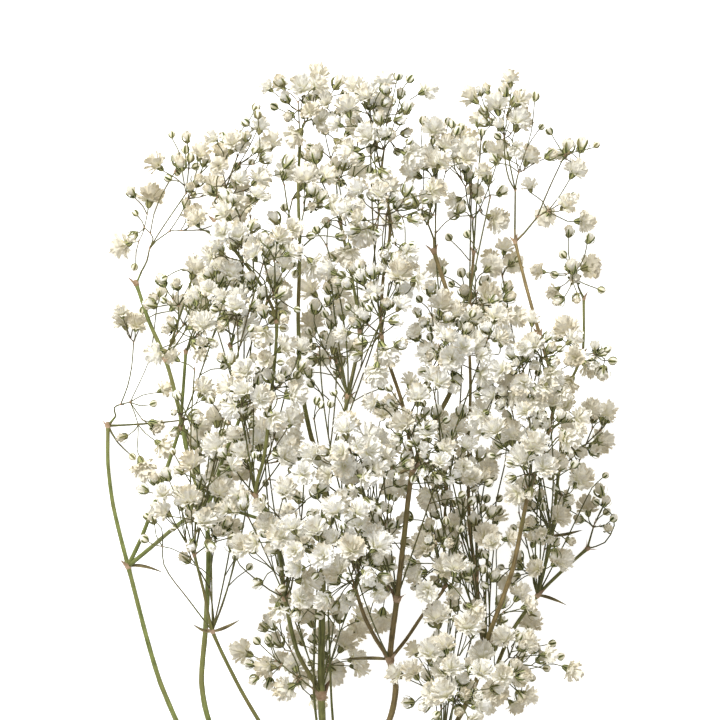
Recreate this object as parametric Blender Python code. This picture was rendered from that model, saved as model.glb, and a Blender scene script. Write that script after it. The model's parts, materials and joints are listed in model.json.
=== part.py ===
"""A cut stem of dried double gypsophila, lying on its side with its flowers spread out.

Places are written in millimetres as seen from above: X across the stem, Y along it from the cut end to the
flowers, Z up from the surface that it lies on. MIDDLE moves the origin under the middle of the whole plant.
"""

import itertools
import math
import random

import bmesh
import bpy
import numpy as np
from mathutils import Matrix, Vector

MM = 0.001
SEED = 5
MIDDLE = np.array([10.0, 197.0, 0.0])

SEAM = 0.3                 # gap between a twig and the stub that it grows from
CLEAR = 0.4                # least gap between twigs of different nodes
STUB = 4.2                 # length of the stubs that stand out of a stem's knots
STUB_ANGLE = 0.56          # least angle between two twigs at one knot, in radians
STUB_SIZE = 0.72           # radius of a spray's stub and of its first stalk
KNOT_SWELL = 1.45          # a knot's radius over its stem's
KNOT_LENGTH = 2.2          # from a knot's middle to where its swelling ends
KNOT_END = 1.3             # from the last knot's middle to the end of its stem
FORK_SIZE = 0.85           # radius of the knot where a stalk forks
FORK_LOOK = 1.1            # how steeply the faces of that knot look ahead
PEDICEL_SIZE = 0.44        # radius of a three sided pedicel, 0.66 mm thick
REST_DEPTH = 0.41          # height of a resting head's middle, over its diameter
HEAD_GAP = 0.7             # least gap between heads of different sprays
DEPTH_SPREAD = 5.0         # how far heads of one tuft lie above and below each other
LEAF_WIDTH = 1.9
LEAF_THICK = 0.9
LEAF_BEND = 0.45           # how far a leaf's tip bends to its side, over its length
PETALS = 5                 # in each of a full head's two layers of petal tips
THICK_STEM = 2.2           # stems thicker than this have SIDES_THICK sides, thinner ones SIDES_THIN
SIDES_THICK = 6
SIDES_THIN = 4
TURN_STEPS = 24            # turns tried for a ring, to bridge it without a twist
WELD = 0.000002            # metres within which a tube's caps are joined to its sides

GREEN = (0.25, 0.29, 0.10)
LIGHT_GREEN = (0.38, 0.41, 0.18)
OLIVE = (0.19, 0.18, 0.07)
BROWN = (0.20, 0.125, 0.055)
CREAM = (0.80, 0.76, 0.64)

# Sizes of the heads: least and most diameter.
HEADS = {"full": (7.4, 9.4), "half": (4.6, 5.8), "bud": (2.9, 3.6)}

# Each stem node: its colour, then its routes. A route starts at a knot of another route, or at None, tapers
# between two diameters, and has its points in order. A fourth item names the knot at that point.
STEMS = {
    "stem_main": (OLIVE, [
        (None, 3.8, 2.5, [
            (0, -4, 1.45), (0.5, 30, 1.5), (2, 62, 3.4), (3, 95, 8, "fork_low"),
            (1, 128, 13, "fork_second"), (-1, 152, 18, "fork_third"), (-3, 187, 25, "fork_fourth"),
            (-2.6, 219, 30), (-2.2, 243, 34.5), (-1.2, 262, 38, "fork_top")]),
        ("fork_top", 1.9, 1.1, [
            (-6, 273, 42), (-9.5, 291, 45), (-10.5, 313, 45.5), (-10, 336, 44, "upper_knot"),
            (-10.5, 355, 43), (-10, 371, 42, "top_knot")]),
        ("fork_top", 1.8, 1.1, [
            (3, 273, 36), (6, 287, 33, "centre_knot"), (10, 309, 30, "centre_mid_knot"),
            (7, 328, 28), (3.5, 345, 27, "upper_right_knot")]),
    ]),
    "branch_left": (GREEN, [
        ("fork_low", 2.6, 1.5, [
            (-18, 120, 9.5), (-40, 153, 8), (-57.5, 190, 6), (-68.5, 229.5, 4.5, "left_node"),
            (-73.6, 250, 3.4), (-75.4, 264, 2.4), (-75.5, 277, 0.75, "left_rest")]),
        ("left_node", 1.8, 1.2, [
            (-63.5, 240, 9), (-57, 257, 19), (-50.3, 276.5, 30, "left_cross_knot"),
            (-49, 289, 34), (-48, 302, 37, "left_mid_knot")]),
        ("left_node", 1.8, 1.2, [
            (-60, 236.5, 10.5), (-50.5, 244.5, 22), (-41, 250.7, 30, "cross_node"),
            (-35.5, 267, 36), (-29, 284, 41, "dark_knot"), (-33, 304, 45, "dark_top")]),
        ("cross_node", 1.4, 1.0, [
            (-32, 249, 33), (-20, 245.3, 40), (-13, 243, 46), (-6, 245, 52), (4, 254.5, 56, "arm_knot")]),
    ]),
    "branch_left_back": (LIGHT_GREEN, [
        ("fork_second", 2.6, 1.5, [
            (-15, 141, 13), (-31, 160, 13), (-41, 178, 13.5), (-43.4, 191, 14), (-42, 209, 14.5),
            (-41, 232, 15), (-42, 248, 15), (-47.5, 265, 14.5), (-51, 283, 14),
            (-55.5, 299.5, 13, "green_knot"), (-61, 312, 12), (-65.5, 325, 11, "left_tip_knot")]),
    ]),
    "branch_left_low": (OLIVE, [
        ("fork_third", 1.9, 1.1, [
            (-13, 162, 21), (-23, 177, 24.5), (-30.5, 190, 27), (-39.3, 208.7, 31, "leaf_node"),
            (-42, 222, 36), (-45, 234.5, 42, "low_knot")]),
    ]),
    "branch_centre_left": (OLIVE, [
        ("fork_fourth", 1.8, 1.1, [
            (-11, 202, 31.5), (-15, 220, 37, "olive_knot"), (-17, 237, 44), (-24.5, 254.5, 52, "red_knot"),
            (-21.5, 268, 56), (-19, 290, 58), (-17.5, 312, 58, "centre_left_knot"), (-22, 323, 57),
            (-30, 334, 54), (-38, 345, 51, "top_left_knot")]),
    ]),
    "branch_brown": (BROWN, [
        ("fork_third", 2.6, 1.5, [
            (11, 164, 19), (20, 179, 24), (22, 190, 28), (20, 199.3, 32, "brown_node"),
            (22.3, 220, 40, "brown_side"), (24.3, 238, 46), (27.5, 263.5, 52, "red_bract_knot"),
            (33, 276, 54), (41, 292, 55, "brown_knot"), (40.5, 315, 54), (34.5, 335, 52, "brown_top")]),
        ("brown_node", 1.8, 1.4, [(15.5, 206, 36), (11.5, 214, 41), (8.3, 224, 46, "clump_knot")]),
        ("brown_node", 1.5, 1.0, [
            (25.5, 206, 29), (31, 214, 26), (38.5, 223.5, 24, "right_low_knot"),
            (38, 240, 24), (39, 256, 25, "right_low_top")]),
        ("red_bract_knot", 1.5, 1.1, [
            (24.5, 283, 62), (17, 307, 68, "pink_knot"), (17.5, 325, 68), (20, 344, 66, "far_mid"),
            (17, 361, 64, "far_top")]),
    ]),
    "branch_right": (BROWN, [
        ("fork_second", 2.4, 1.2, [
            (18, 146, 14), (38, 170, 17, "crop_knot"), (48.5, 190, 21), (52.3, 204.5, 25, "right_node"),
            (57, 218, 31), (61, 230, 36), (66, 255.5, 45, "right_mid_knot"), (71, 270, 48),
            (74.5, 288, 49), (69.5, 307.5, 48, "right_upper_knot"), (65, 324, 46),
            (61.5, 338.5, 44, "right_top_knot")]),
        ("right_node", 1.6, 1.0, [
            (50.3, 214, 22), (49, 226, 20, "pink_low_knot"), (46.8, 243, 22), (46.3, 262, 23),
            (47, 290, 25), (46.5, 312, 27, "inner_knot"), (48, 335, 28, "inner_top")]),
    ]),
    "branch_right_outer": (OLIVE, [
        ("fork_low", 2.4, 1.3, [
            (24, 121, 9.5), (43, 158, 9), (54, 190, 8, "outer_low"), (61, 207, 7.5),
            (70, 219.7, 7, "outer_node"), (79, 228.5, 4.4), (87, 235.3, 0.65, "right_rest")]),
        ("outer_node", 1.5, 1.0, [
            (72.5, 230, 9.5), (74.7, 240, 11, "up_knot"), (77, 262, 12, "up_low"), (79.5, 288, 12),
            (85, 301.5, 12, "up_high"), (85.5, 320, 11, "up_top")]),
    ]),
}

# Narrow curved leaves at some knots: the way of the leaf, the way that its tip bends to, and its length.
LEAVES = {
    "branch_left": [("left_node", (0.95, 0.25, 0.15), (0.45, -0.8, 0.1), 10)],
    "branch_left_low": [
        ("leaf_node", (-0.9, -0.1, 0.1), (-0.2, 0.9, 0.2), 6),
        ("leaf_node", (0.95, 0.1, 0.1), (0.5, 0.7, 0.1), 7)],
    "branch_brown": [
        ("brown_node", (-0.95, 0.15, -0.1), (-0.8, -0.25, -0.1), 11),
        ("red_bract_knot", (0.9, 0.2, -0.2), (0.9, 0.45, 0), 8),
        ("red_bract_knot", (-0.9, -0.1, 0.2), (-0.3, -0.8, 0), 6)],
    "branch_right_outer": [
        ("outer_node", (0.9, 0.05, 0.3), (0.5, -0.8, 0.1), 8),
        ("up_knot", (0.9, 0.1, 0.2), (0.9, 0.3, 0.1), 7)],
}

# Each spray: the knot that it grows from, the height of its heads, and its tufts of heads. A tuft has its
# middle, how many heads it has and their kind, and where it isn't the spray's, its height: 0 is the surface.
SPRAYS = {
    "spray_left_rest": ("left_rest", 8, [
        (-63.3, 262.7, 1, "full"), (-58, 277, 1, "half"), (-70, 313, 1, "full"), (-57.5, 319, 2, "half")]),
    "spray_left_tip": ("left_tip_knot", 12, [
        (-71, 338, 1, "full", 5), (-61, 355, 1, "full", 0), (-53, 364, 2, "half"), (-49.5, 369, 2, "bud"),
        (-46, 348, 1, "full"), (-41, 355, 2, "full"), (-42, 364, 2, "half")]),
    "spray_left_green": ("green_knot", 18, [
        (-57, 327, 1, "half"), (-44, 312, 1, "full"), (-46, 318, 1, "half"), (-40, 328, 2, "full")]),
    "spray_left_mid": ("left_mid_knot", 46, [
        (-38, 316, 2, "full"), (-37, 331, 1, "full"), (-43, 303, 1, "half")]),
    "spray_left_cross": ("left_cross_knot", 40, [
        (-42, 290, 1, "full"), (-51, 288, 1, "bud"), (-44, 281, 1, "half")]),
    "spray_cross_up": ("cross_node", 17, [
        (-38, 280, 1, "full"), (-41, 273, 1, "half"), (-38.5, 266, 2, "full")]),
    "spray_dark": ("dark_knot", 62, [
        (-22, 287, 1, "full"), (-28, 296, 1, "full"), (-11, 288, 1, "full"), (-12, 298, 2, "half")]),
    "spray_dark_top": ("dark_top", 58, [
        (-30, 320, 1, "full"), (-26, 327, 1, "half"), (-27, 310, 1, "full"), (-22, 322, 1, "half")]),
    "spray_left_low": ("low_knot", 58, [
        (-47, 259, 2, "full"), (-41, 247, 1, "full"), (-43, 253, 1, "half")]),
    "spray_leaf_node": ("leaf_node", 40, [
        (-62, 240, 1, "bud"), (-51, 251, 2, "bud"), (-34.5, 249, 2, "full"), (-34, 262, 1, "full")]),
    "spray_red": ("red_knot", 50, [
        (-32, 272, 2, "full"), (-24, 273, 1, "full"), (-15.5, 275, 2, "full")]),
    "spray_olive": ("olive_knot", 50, [
        (-29, 238, 1, "full"), (-13, 229, 2, "bud"), (-7, 226, 1, "full")]),
    "spray_olive_right": ("olive_knot", 66, [
        (-12, 237, 2, "full"), (-11.5, 247, 1, "half"), (-11.5, 255, 1, "bud"), (-19, 252, 2, "full")]),
    "spray_base_left": ("fork_fourth", 12, [
        (-30, 201, 1, "full"), (-16, 195, 3, "full"), (-20, 210, 2, "half"), (-25, 205, 1, "bud")]),
    "spray_base_centre": ("fork_fourth", 10, [
        (6, 199, 2, "full"), (9, 207, 1, "full"), (3, 214, 1, "half"), (-8, 207, 2, "full")]),
    "spray_clump": ("clump_knot", 76, [
        (-2.5, 241, 2, "full"), (3, 246, 2, "full"), (10, 243, 2, "full")]),
    "spray_clump_right": ("clump_knot", 62, [
        (13, 235, 2, "half"), (6, 236, 2, "half"), (2, 231, 1, "full"), (15, 242, 1, "full"),
        (0, 227, 1, "half")]),
    "spray_arm": ("arm_knot", 71, [
        (-1, 268, 2, "full"), (7, 262, 1, "full"), (10, 275, 2, "full"), (16, 250, 1, "bud")]),
    "spray_brown_side": ("brown_side", 26, [
        (20, 256, 1, "full"), (18.5, 248, 2, "full"), (19, 233, 1, "half"), (17, 230, 1, "bud"),
        (17, 212, 1, "full")]),
    "spray_red_bract": ("red_bract_knot", 68, [
        (24, 279, 1, "full"), (31, 271, 1, "half"), (29, 288, 1, "full"), (36, 260, 1, "half")]),
    "spray_right_low": ("right_low_knot", 41, [
        (33, 229, 2, "full"), (31, 238, 1, "full"), (33, 245, 1, "half"), (42, 231, 1, "full")]),
    "spray_right_low_top": ("right_low_top", 36, [
        (33, 253, 1, "full"), (38, 264, 1, "half"), (36, 276, 2, "full")]),
    "spray_base_right": ("crop_knot", 44, [
        (39, 209, 2, "full"), (38, 202, 2, "full"), (32, 195, 2, "full")]),
    "spray_base_front": ("crop_knot", 56, [
        (41, 192, 2, "half"), (38, 190, 1, "full"), (47, 199, 2, "full"), (47, 192, 1, "half")]),
    "spray_base_outer": ("outer_low", 30, [
        (54, 199, 2, "full"), (60, 204, 2, "full"), (58, 193, 2, "full"), (62, 198, 1, "half"),
        (63, 207, 1, "bud")]),
    "spray_base_far": ("outer_low", 7, [
        (72.3, 199, 1, "half"), (68.3, 192, 1, "bud"), (78.3, 199, 1, "bud"), (67, 213, 1, "full", 0)]),
    "spray_pink_low": ("pink_low_knot", 34, [
        (52, 241, 1, "full"), (46, 263, 1, "full"), (50, 269, 1, "half"), (48, 247, 1, "half")]),
    "spray_right_node": ("right_node", 16, [
        (58, 219, 1, "half"), (64, 221, 1, "full"), (56, 240, 1, "half")]),
    "spray_right_mid": ("right_mid_knot", 62, [
        (65, 263, 2, "full"), (67, 272, 1, "full"), (60, 274, 1, "full"), (54, 277, 1, "full")]),
    "spray_up_knot": ("up_knot", 30, [
        (77, 247, 1, "full"), (70, 244, 2, "half"), (75, 265, 1, "full"), (84, 260, 1, "full")]),
    "spray_outer_node": ("outer_node", 9, [
        (78, 232, 1, "full"), (65, 234, 2, "half")]),
    "spray_right_rest": ("right_rest", 7, [
        (87, 250, 1, "full", 0), (91, 256, 1, "half"), (96, 246, 1, "bud")]),
    "spray_up_low": ("up_low", 16, [
        (81, 276, 1, "full"), (92, 272, 1, "full", 0), (88, 283, 1, "full"), (85, 268, 1, "half")]),
    "spray_up_high": ("up_high", 25, [
        (87, 297, 1, "full"), (91, 294, 1, "half"), (95, 299, 1, "bud"), (79, 310, 1, "full"),
        (80, 299, 1, "half")]),
    "spray_up_top": ("up_top", 19, [
        (88, 331, 1, "full", 0), (80, 329, 2, "half"), (75, 328, 1, "bud"), (78, 335, 1, "bud")]),
    "spray_right_upper": ("right_upper_knot", 64, [
        (66, 295, 2, "full"), (73, 304, 1, "half"), (58, 294, 1, "full"), (67, 285, 1, "full"),
        (62, 301, 1, "half")]),
    "spray_right_top": ("right_top_knot", 30, [
        (85, 345.5, 1, "full"), (82, 363, 1, "full"), (82, 370, 2, "half")]),
    "spray_right_crown": ("right_top_knot", 50, [
        (66, 367, 1, "full"), (57, 379, 2, "full"), (63, 379, 1, "full"), (58, 387, 2, "half"),
        (51, 382.5, 1, "bud"), (65, 386, 2, "bud")]),
    "spray_inner_top": ("inner_top", 30, [
        (56, 346, 1, "full"), (44, 369, 1, "full", 0), (51, 369, 2, "full"), (46, 362, 1, "half"),
        (44, 375, 2, "bud")]),
    "spray_inner": ("inner_knot", 20, [
        (57, 326, 2, "full"), (52, 327, 1, "half"), (61, 321, 1, "half"), (45, 323, 1, "half"),
        (44, 329, 1, "bud"), (58, 314, 1, "full")]),
    "spray_brown_top": ("brown_top", 50, [
        (34.5, 376, 1, "full"), (35, 365, 1, "full"), (31, 379, 1, "bud"), (40, 380, 2, "bud"),
        (33, 353, 1, "full"), (27, 353, 1, "half")]),
    "spray_brown_knot": ("brown_knot", 68, [
        (34, 306, 2, "full"), (40, 300, 1, "full"), (37, 318, 1, "full"), (33, 324, 1, "half"),
        (42, 311, 1, "bud"), (48, 305, 1, "full"), (57, 307, 1, "full")]),
    "spray_far_top": ("far_top", 73, [
        (14, 386, 2, "full"), (26, 383, 1, "half"), (9, 378, 2, "full"), (20, 373, 1, "half"),
        (24.5, 392.5, 2, "bud"), (27, 366, 1, "full"), (8, 365, 1, "half")]),
    "spray_far_mid": ("far_mid", 77, [
        (9, 355, 1, "full"), (26, 356, 1, "half"), (11, 340, 1, "full"), (29, 345, 1, "half")]),
    "spray_pink": ("pink_knot", 80, [
        (23, 328, 1, "full"), (14, 325, 2, "half"), (10, 331, 1, "half"), (28, 325, 1, "bud"),
        (12, 300, 2, "full")]),
    "spray_top": ("top_knot", 50, [
        (-9, 390, 1, "full"), (-4, 394, 1, "full"), (3.5, 392, 1, "half"), (-1, 385, 2, "full"),
        (-15, 387, 1, "half"), (-8, 381, 1, "half")]),
    "spray_upper": ("upper_knot", 52, [
        (-8, 360, 1, "full"), (-2, 354, 1, "half"), (-5, 368, 1, "half"), (-17, 335, 1, "full"),
        (-4, 330, 1, "full"), (-19, 347, 1, "half")]),
    "spray_upper_right": ("upper_right_knot", 28, [
        (3, 369, 2, "half"), (-2, 378, 1, "half"), (6, 334, 1, "full")]),
    "spray_top_left": ("top_left_knot", 50, [
        (-29, 362, 2, "full"), (-24, 355, 1, "half"), (-30, 350, 1, "full"), (-31, 371, 1, "full"),
        (-26, 381, 3, "bud"), (-17, 366, 2, "half")]),
    "spray_centre_left": ("centre_left_knot", 66, [
        (-30, 341, 1, "full"), (-38, 336, 1, "full"), (-15, 322, 1, "half"), (-23, 337, 1, "half")]),
    "spray_centre": ("centre_knot", 22, [
        (-3, 306, 2, "full"), (4, 316, 1, "full"), (-5, 318, 1, "half"), (3, 300, 1, "half")]),
}

# How often a random draw is made again before the best one found is taken.
HEAD_TRIES = 500
FORK_TRIES = 160
BEND_TRIES = 110
STUB_TRIES = 4000
SPRAY_TRIES = 6

STUB_SWAY = 3.0            # how far a stub's way strays from the one that it is wanted to have
STUB_LIFT = 1.3            # least height of a stub's tip
GROUP_SIZE = 0.55          # how far a tuft spreads, over the size of a head and the root of their number
HEAD_LIFT = 0.56           # least height of a head's middle, over its diameter
HEAD_APART = 0.1           # least gap between heads of one spray
HEAD_LEAN = np.array([0, 0.12, 0.1])   # heads lean a little to the far end of the plant and up
LEAST_AHEAD = 0.15         # cosine of the widest angle at which a twig leaves its fork
AHEAD_WORTH = 3.0          # millimetres of room that a whole step of that cosine is worth
OWN_CLEAR = 0.12           # least gap between twigs of one spray
SPRAY_REACH = 12.0         # how far round its heads a spray looks for what is in its way
PEDICEL_LIFT = 0.5         # least height of a pedicel's middle, and of a stalk's
STALK_LIFT = 0.9
LONG_PEDICEL = 14.0        # a pedicel longer than this has a bend in it
LONG_STALK = 16.0          # a stalk longer than this has two
LEAST_PEDICEL = 1.6        # least lengths of a pedicel, of a stalk and of a stalk's pieces
LEAST_STALK = 3.4
LEAST_PIECE = 1.5
FORK_BACK = 4.5            # how far before its heads a stalk forks, past 1.1 times their spread
LEAST_BACK = 6.5
LEVEL_BACK = 4.0           # how much farther back where there are more forks to come
MOST_BACK = 0.75           # and the most, over the whole way
HEAD_REACH = 2.2           # least length of stalk between a fork and a head
NECK_SIZE = 0.15           # radius kept clear between a head's foot and its middle, over its diameter
THINNER = 0.86             # a stalk's radius over that of the stalk that it grows from
THINNEST = 0.5
FIRST_PART = 1000          # part numbers of twigs; a twig's lines past its first have FAR_PART added
FAR_PART = 5000
HEAD_NECK = {"full": 0.5, "half": 0.72, "bud": 0.62}   # a head's middle above its foot, over its diameter


def unit(vector):
    """The vector at a length of one."""
    return vector / max(float(np.linalg.norm(vector)), 1e-9)


def angle_between(a, b):
    return math.acos(max(-1.0, min(1.0, float(a @ b))))


def drawn(rng):
    """A random point inside a ball of radius one."""
    while True:
        point = np.array([rng.uniform(-1, 1) for _ in range(3)])
        if point @ point <= 1:
            return point


def line_gaps(a, b, p, q):
    """Shortest distances from each of the lines a to b to each of the lines p to q."""
    u = (b - a)[:, None]
    v = (q - p)[None]
    w = a[:, None] - p[None]
    uu = (u * u).sum(axis=2) + 1e-9
    vv = (v * v).sum(axis=2) + 1e-9
    uv = (u * v).sum(axis=2)
    uw = (u * w).sum(axis=2)
    vw = (v * w).sum(axis=2)
    s = np.clip((uv * vw - vv * uw) / np.maximum(uu * vv - uv * uv, 1e-9), 0, 1)
    t = np.clip((uv * s + vw) / vv, 0, 1)
    s = np.clip((uv * t - uw) / uu, 0, 1)
    apart = w + s[..., None] * u - t[..., None] * v
    return np.sqrt((apart * apart).sum(axis=2))


class Room:
    """The space that is taken: round lines, each with a radius, the node that owns it and a part number."""

    def __init__(self):
        self.ends = np.zeros((0, 6))
        self.radius = np.zeros(0)
        self.owner = np.zeros(0, int)
        self.part = np.zeros(0, int)
        self.names = {}

    def take(self, path, radius, name, part=-1):
        owner = self.names.setdefault(name, len(self.names))
        path = np.asarray(path, float)
        ends = np.hstack([path[:-1], path[1:]]) if len(path) > 1 else np.hstack([path, path])
        self.ends = np.vstack([self.ends, ends])
        self.radius = np.append(self.radius, np.full(len(ends), radius))
        self.owner = np.append(self.owner, np.full(len(ends), owner))
        self.part = np.append(self.part, np.full(len(ends), part))

    def near(self, places, reach):
        """A smaller room with only what lies near some places."""
        low, high = np.min(places, axis=0) - reach, np.max(places, axis=0) + reach
        first, last = self.ends[:, :3], self.ends[:, 3:]
        inside = ((np.minimum(first, last) < high) & (np.maximum(first, last) > low)).all(axis=1)
        small = Room()
        small.set_back((self.ends[inside], self.radius[inside], self.owner[inside], self.part[inside]))
        small.names = self.names
        return small

    def add(self, small, count):
        """Adds what a smaller room has taken since it had only so many lines."""
        self.ends = np.vstack([self.ends, small.ends[count:]])
        self.radius = np.append(self.radius, small.radius[count:])
        self.owner = np.append(self.owner, small.owner[count:])
        self.part = np.append(self.part, small.part[count:])

    def taken(self):
        return self.ends, self.radius, self.owner, self.part

    def set_back(self, taken):
        self.ends, self.radius, self.owner, self.part = taken

    def around(self, path, radius, name, skip=()):
        """The least gaps round a path: to other nodes, and to the parts of its own that aren't skipped."""
        owner = self.names.setdefault(name, len(self.names))
        path = np.asarray(path, float)
        starts, stops = (path[:-1], path[1:]) if len(path) > 1 else (path, path)
        gaps = line_gaps(starts, stops, self.ends[:, :3], self.ends[:, 3:]).min(axis=0)
        gaps = gaps - self.radius - radius
        mine = self.owner == owner
        own = mine & ~np.isin(self.part, list(skip))
        return float(gaps[~mine].min(initial=99.0)), float(gaps[own].min(initial=99.0))


def lay_stems(room):
    """Works out every stem's routes with their radii, and the knots that twigs grow from."""
    stems, knots = {}, {}
    for name, (_, routes) in STEMS.items():
        stems[name] = []
        for start, thick, thin, places in routes:
            points = [np.array(place[:3], float) for place in places]
            labels = [place[3] if len(place) > 3 else None for place in places]
            if start is not None:
                knot = knots[start]
                way = unit(points[0] - knot["at"])
                knot["ways"].append(way)
                first = knot["at"]
                if knot["stem"] != name:
                    knot["stubs"].append((way, 0.5 * thick))
                    room.take([knot["at"], knot["at"] + way * STUB], 0.5 * thick, knot["stem"])
                    first = knot["at"] + way * (STUB + SEAM)
                points.insert(0, first)
                labels.insert(0, None)
            line = np.array(points)
            along = np.append(0, np.cumsum(np.linalg.norm(np.diff(line, axis=0), axis=1)))
            radii = 0.5 * (thick + (thin - thick) * along / along[-1])
            for index, label in enumerate(labels):
                if label is None:
                    continue
                ways = [unit(line[index - 1] - line[index])]
                if index + 1 < len(line):
                    ways.append(unit(line[index + 1] - line[index]))
                knots[label] = {
                    "at": line[index], "radius": float(radii[index]), "stem": name, "ways": ways,
                    "stubs": [], "sprays": {}}
            for a, b, radius in zip(line[:-1], line[1:], radii[:-1]):
                room.take([a, b], float(radius), name)
            stems[name].append({"line": line, "radii": radii, "labels": labels, "thick": thick})
    return stems, knots


def lay_stubs(knots, room, rng):
    """Turns each spray's stub towards its tufts, as far from the other twigs of its knot as they need."""
    for name, (start, height, tufts) in SPRAYS.items():
        knot = knots[start]
        places = [(x, y, own_height[0] if own_height else height) for x, y, _, _, *own_height in tufts]
        wanted = unit(np.mean(places, axis=0) - knot["at"])
        for step in range(STUB_TRIES):
            way = unit(wanted + STUB_SWAY * step / STUB_TRIES * drawn(rng))
            apart = min(angle_between(way, other) for other in knot["ways"])
            tip = knot["at"] + way * STUB
            if apart > STUB_ANGLE and tip[2] > STUB_LIFT:
                break
        knot["ways"].append(way)
        knot["stubs"].append((way, STUB_SIZE))
        knot["sprays"][name] = way
        room.take([knot["at"], tip], STUB_SIZE, knot["stem"])


def lay_heads(room, rng):
    """Places the heads of every tuft, clear of the stems and of each other."""
    heads = []
    for name, (_, height, tufts) in SPRAYS.items():
        for x, y, count, kind, *own_height in tufts:
            for _ in range(count):
                size = rng.uniform(*HEADS[kind])
                reach = 0.0 if count == 1 else GROUP_SIZE * size * math.sqrt(count)
                best, best_gap = None, -99.0
                for step in range(HEAD_TRIES):
                    turn = rng.uniform(0, 2 * math.pi)
                    out = reach * rng.uniform(0.6, 1.1) + 0.02 * step * rng.uniform(0, 1)
                    z = height + rng.uniform(-1, 1) * (DEPTH_SPREAD + 0.05 * step)
                    z = own_height[0] or REST_DEPTH * size if own_height else max(z, HEAD_LIFT * size)
                    place = np.array([x + out * math.cos(turn), y + out * math.sin(turn), z])
                    others, own = room.around([place], 0.5 * size, name)
                    free = min(others - HEAD_GAP, own - HEAD_APART)
                    if free > best_gap:
                        best, best_gap = place, free
                    if free >= 0:
                        break
                number = len(heads)
                heads.append({
                    "number": number, "spray": name, "kind": kind, "size": size, "at": best,
                    "turn": rng.uniform(0, 2 * math.pi)})
                room.take([best], 0.5 * size, name, number)
    return heads


def bent(start, heading, end, bow, count):
    """A line from start to end that sets out along heading and bows by a random amount."""
    span = end - start
    middle = start + 0.5 * float(np.linalg.norm(span)) * unit(unit(heading) + 0.9 * unit(span)) + bow
    steps = np.linspace(0, 1, count + 2)[:, None]
    return (1 - steps) ** 2 * start + 2 * steps * (1 - steps) * middle + steps ** 2 * end


def split(tips, fork):
    """Parts the heads beyond a fork into two or three groups, side by side as the fork sees them."""
    if len(tips) <= 3:
        return [[tip] for tip in tips]
    ways = np.array([unit(tip["at"] - fork) for tip in tips])
    spread = ways - ways.mean(axis=0)
    axis = np.linalg.svd(spread)[2][0]
    order = np.argsort(spread @ axis)
    parts = 3 if len(tips) >= 7 else 2
    bounds = [round(len(tips) * k / parts) for k in range(parts + 1)]
    return [[tips[i] for i in order[a:b]] for a, b in zip(bounds[:-1], bounds[1:])]


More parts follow.
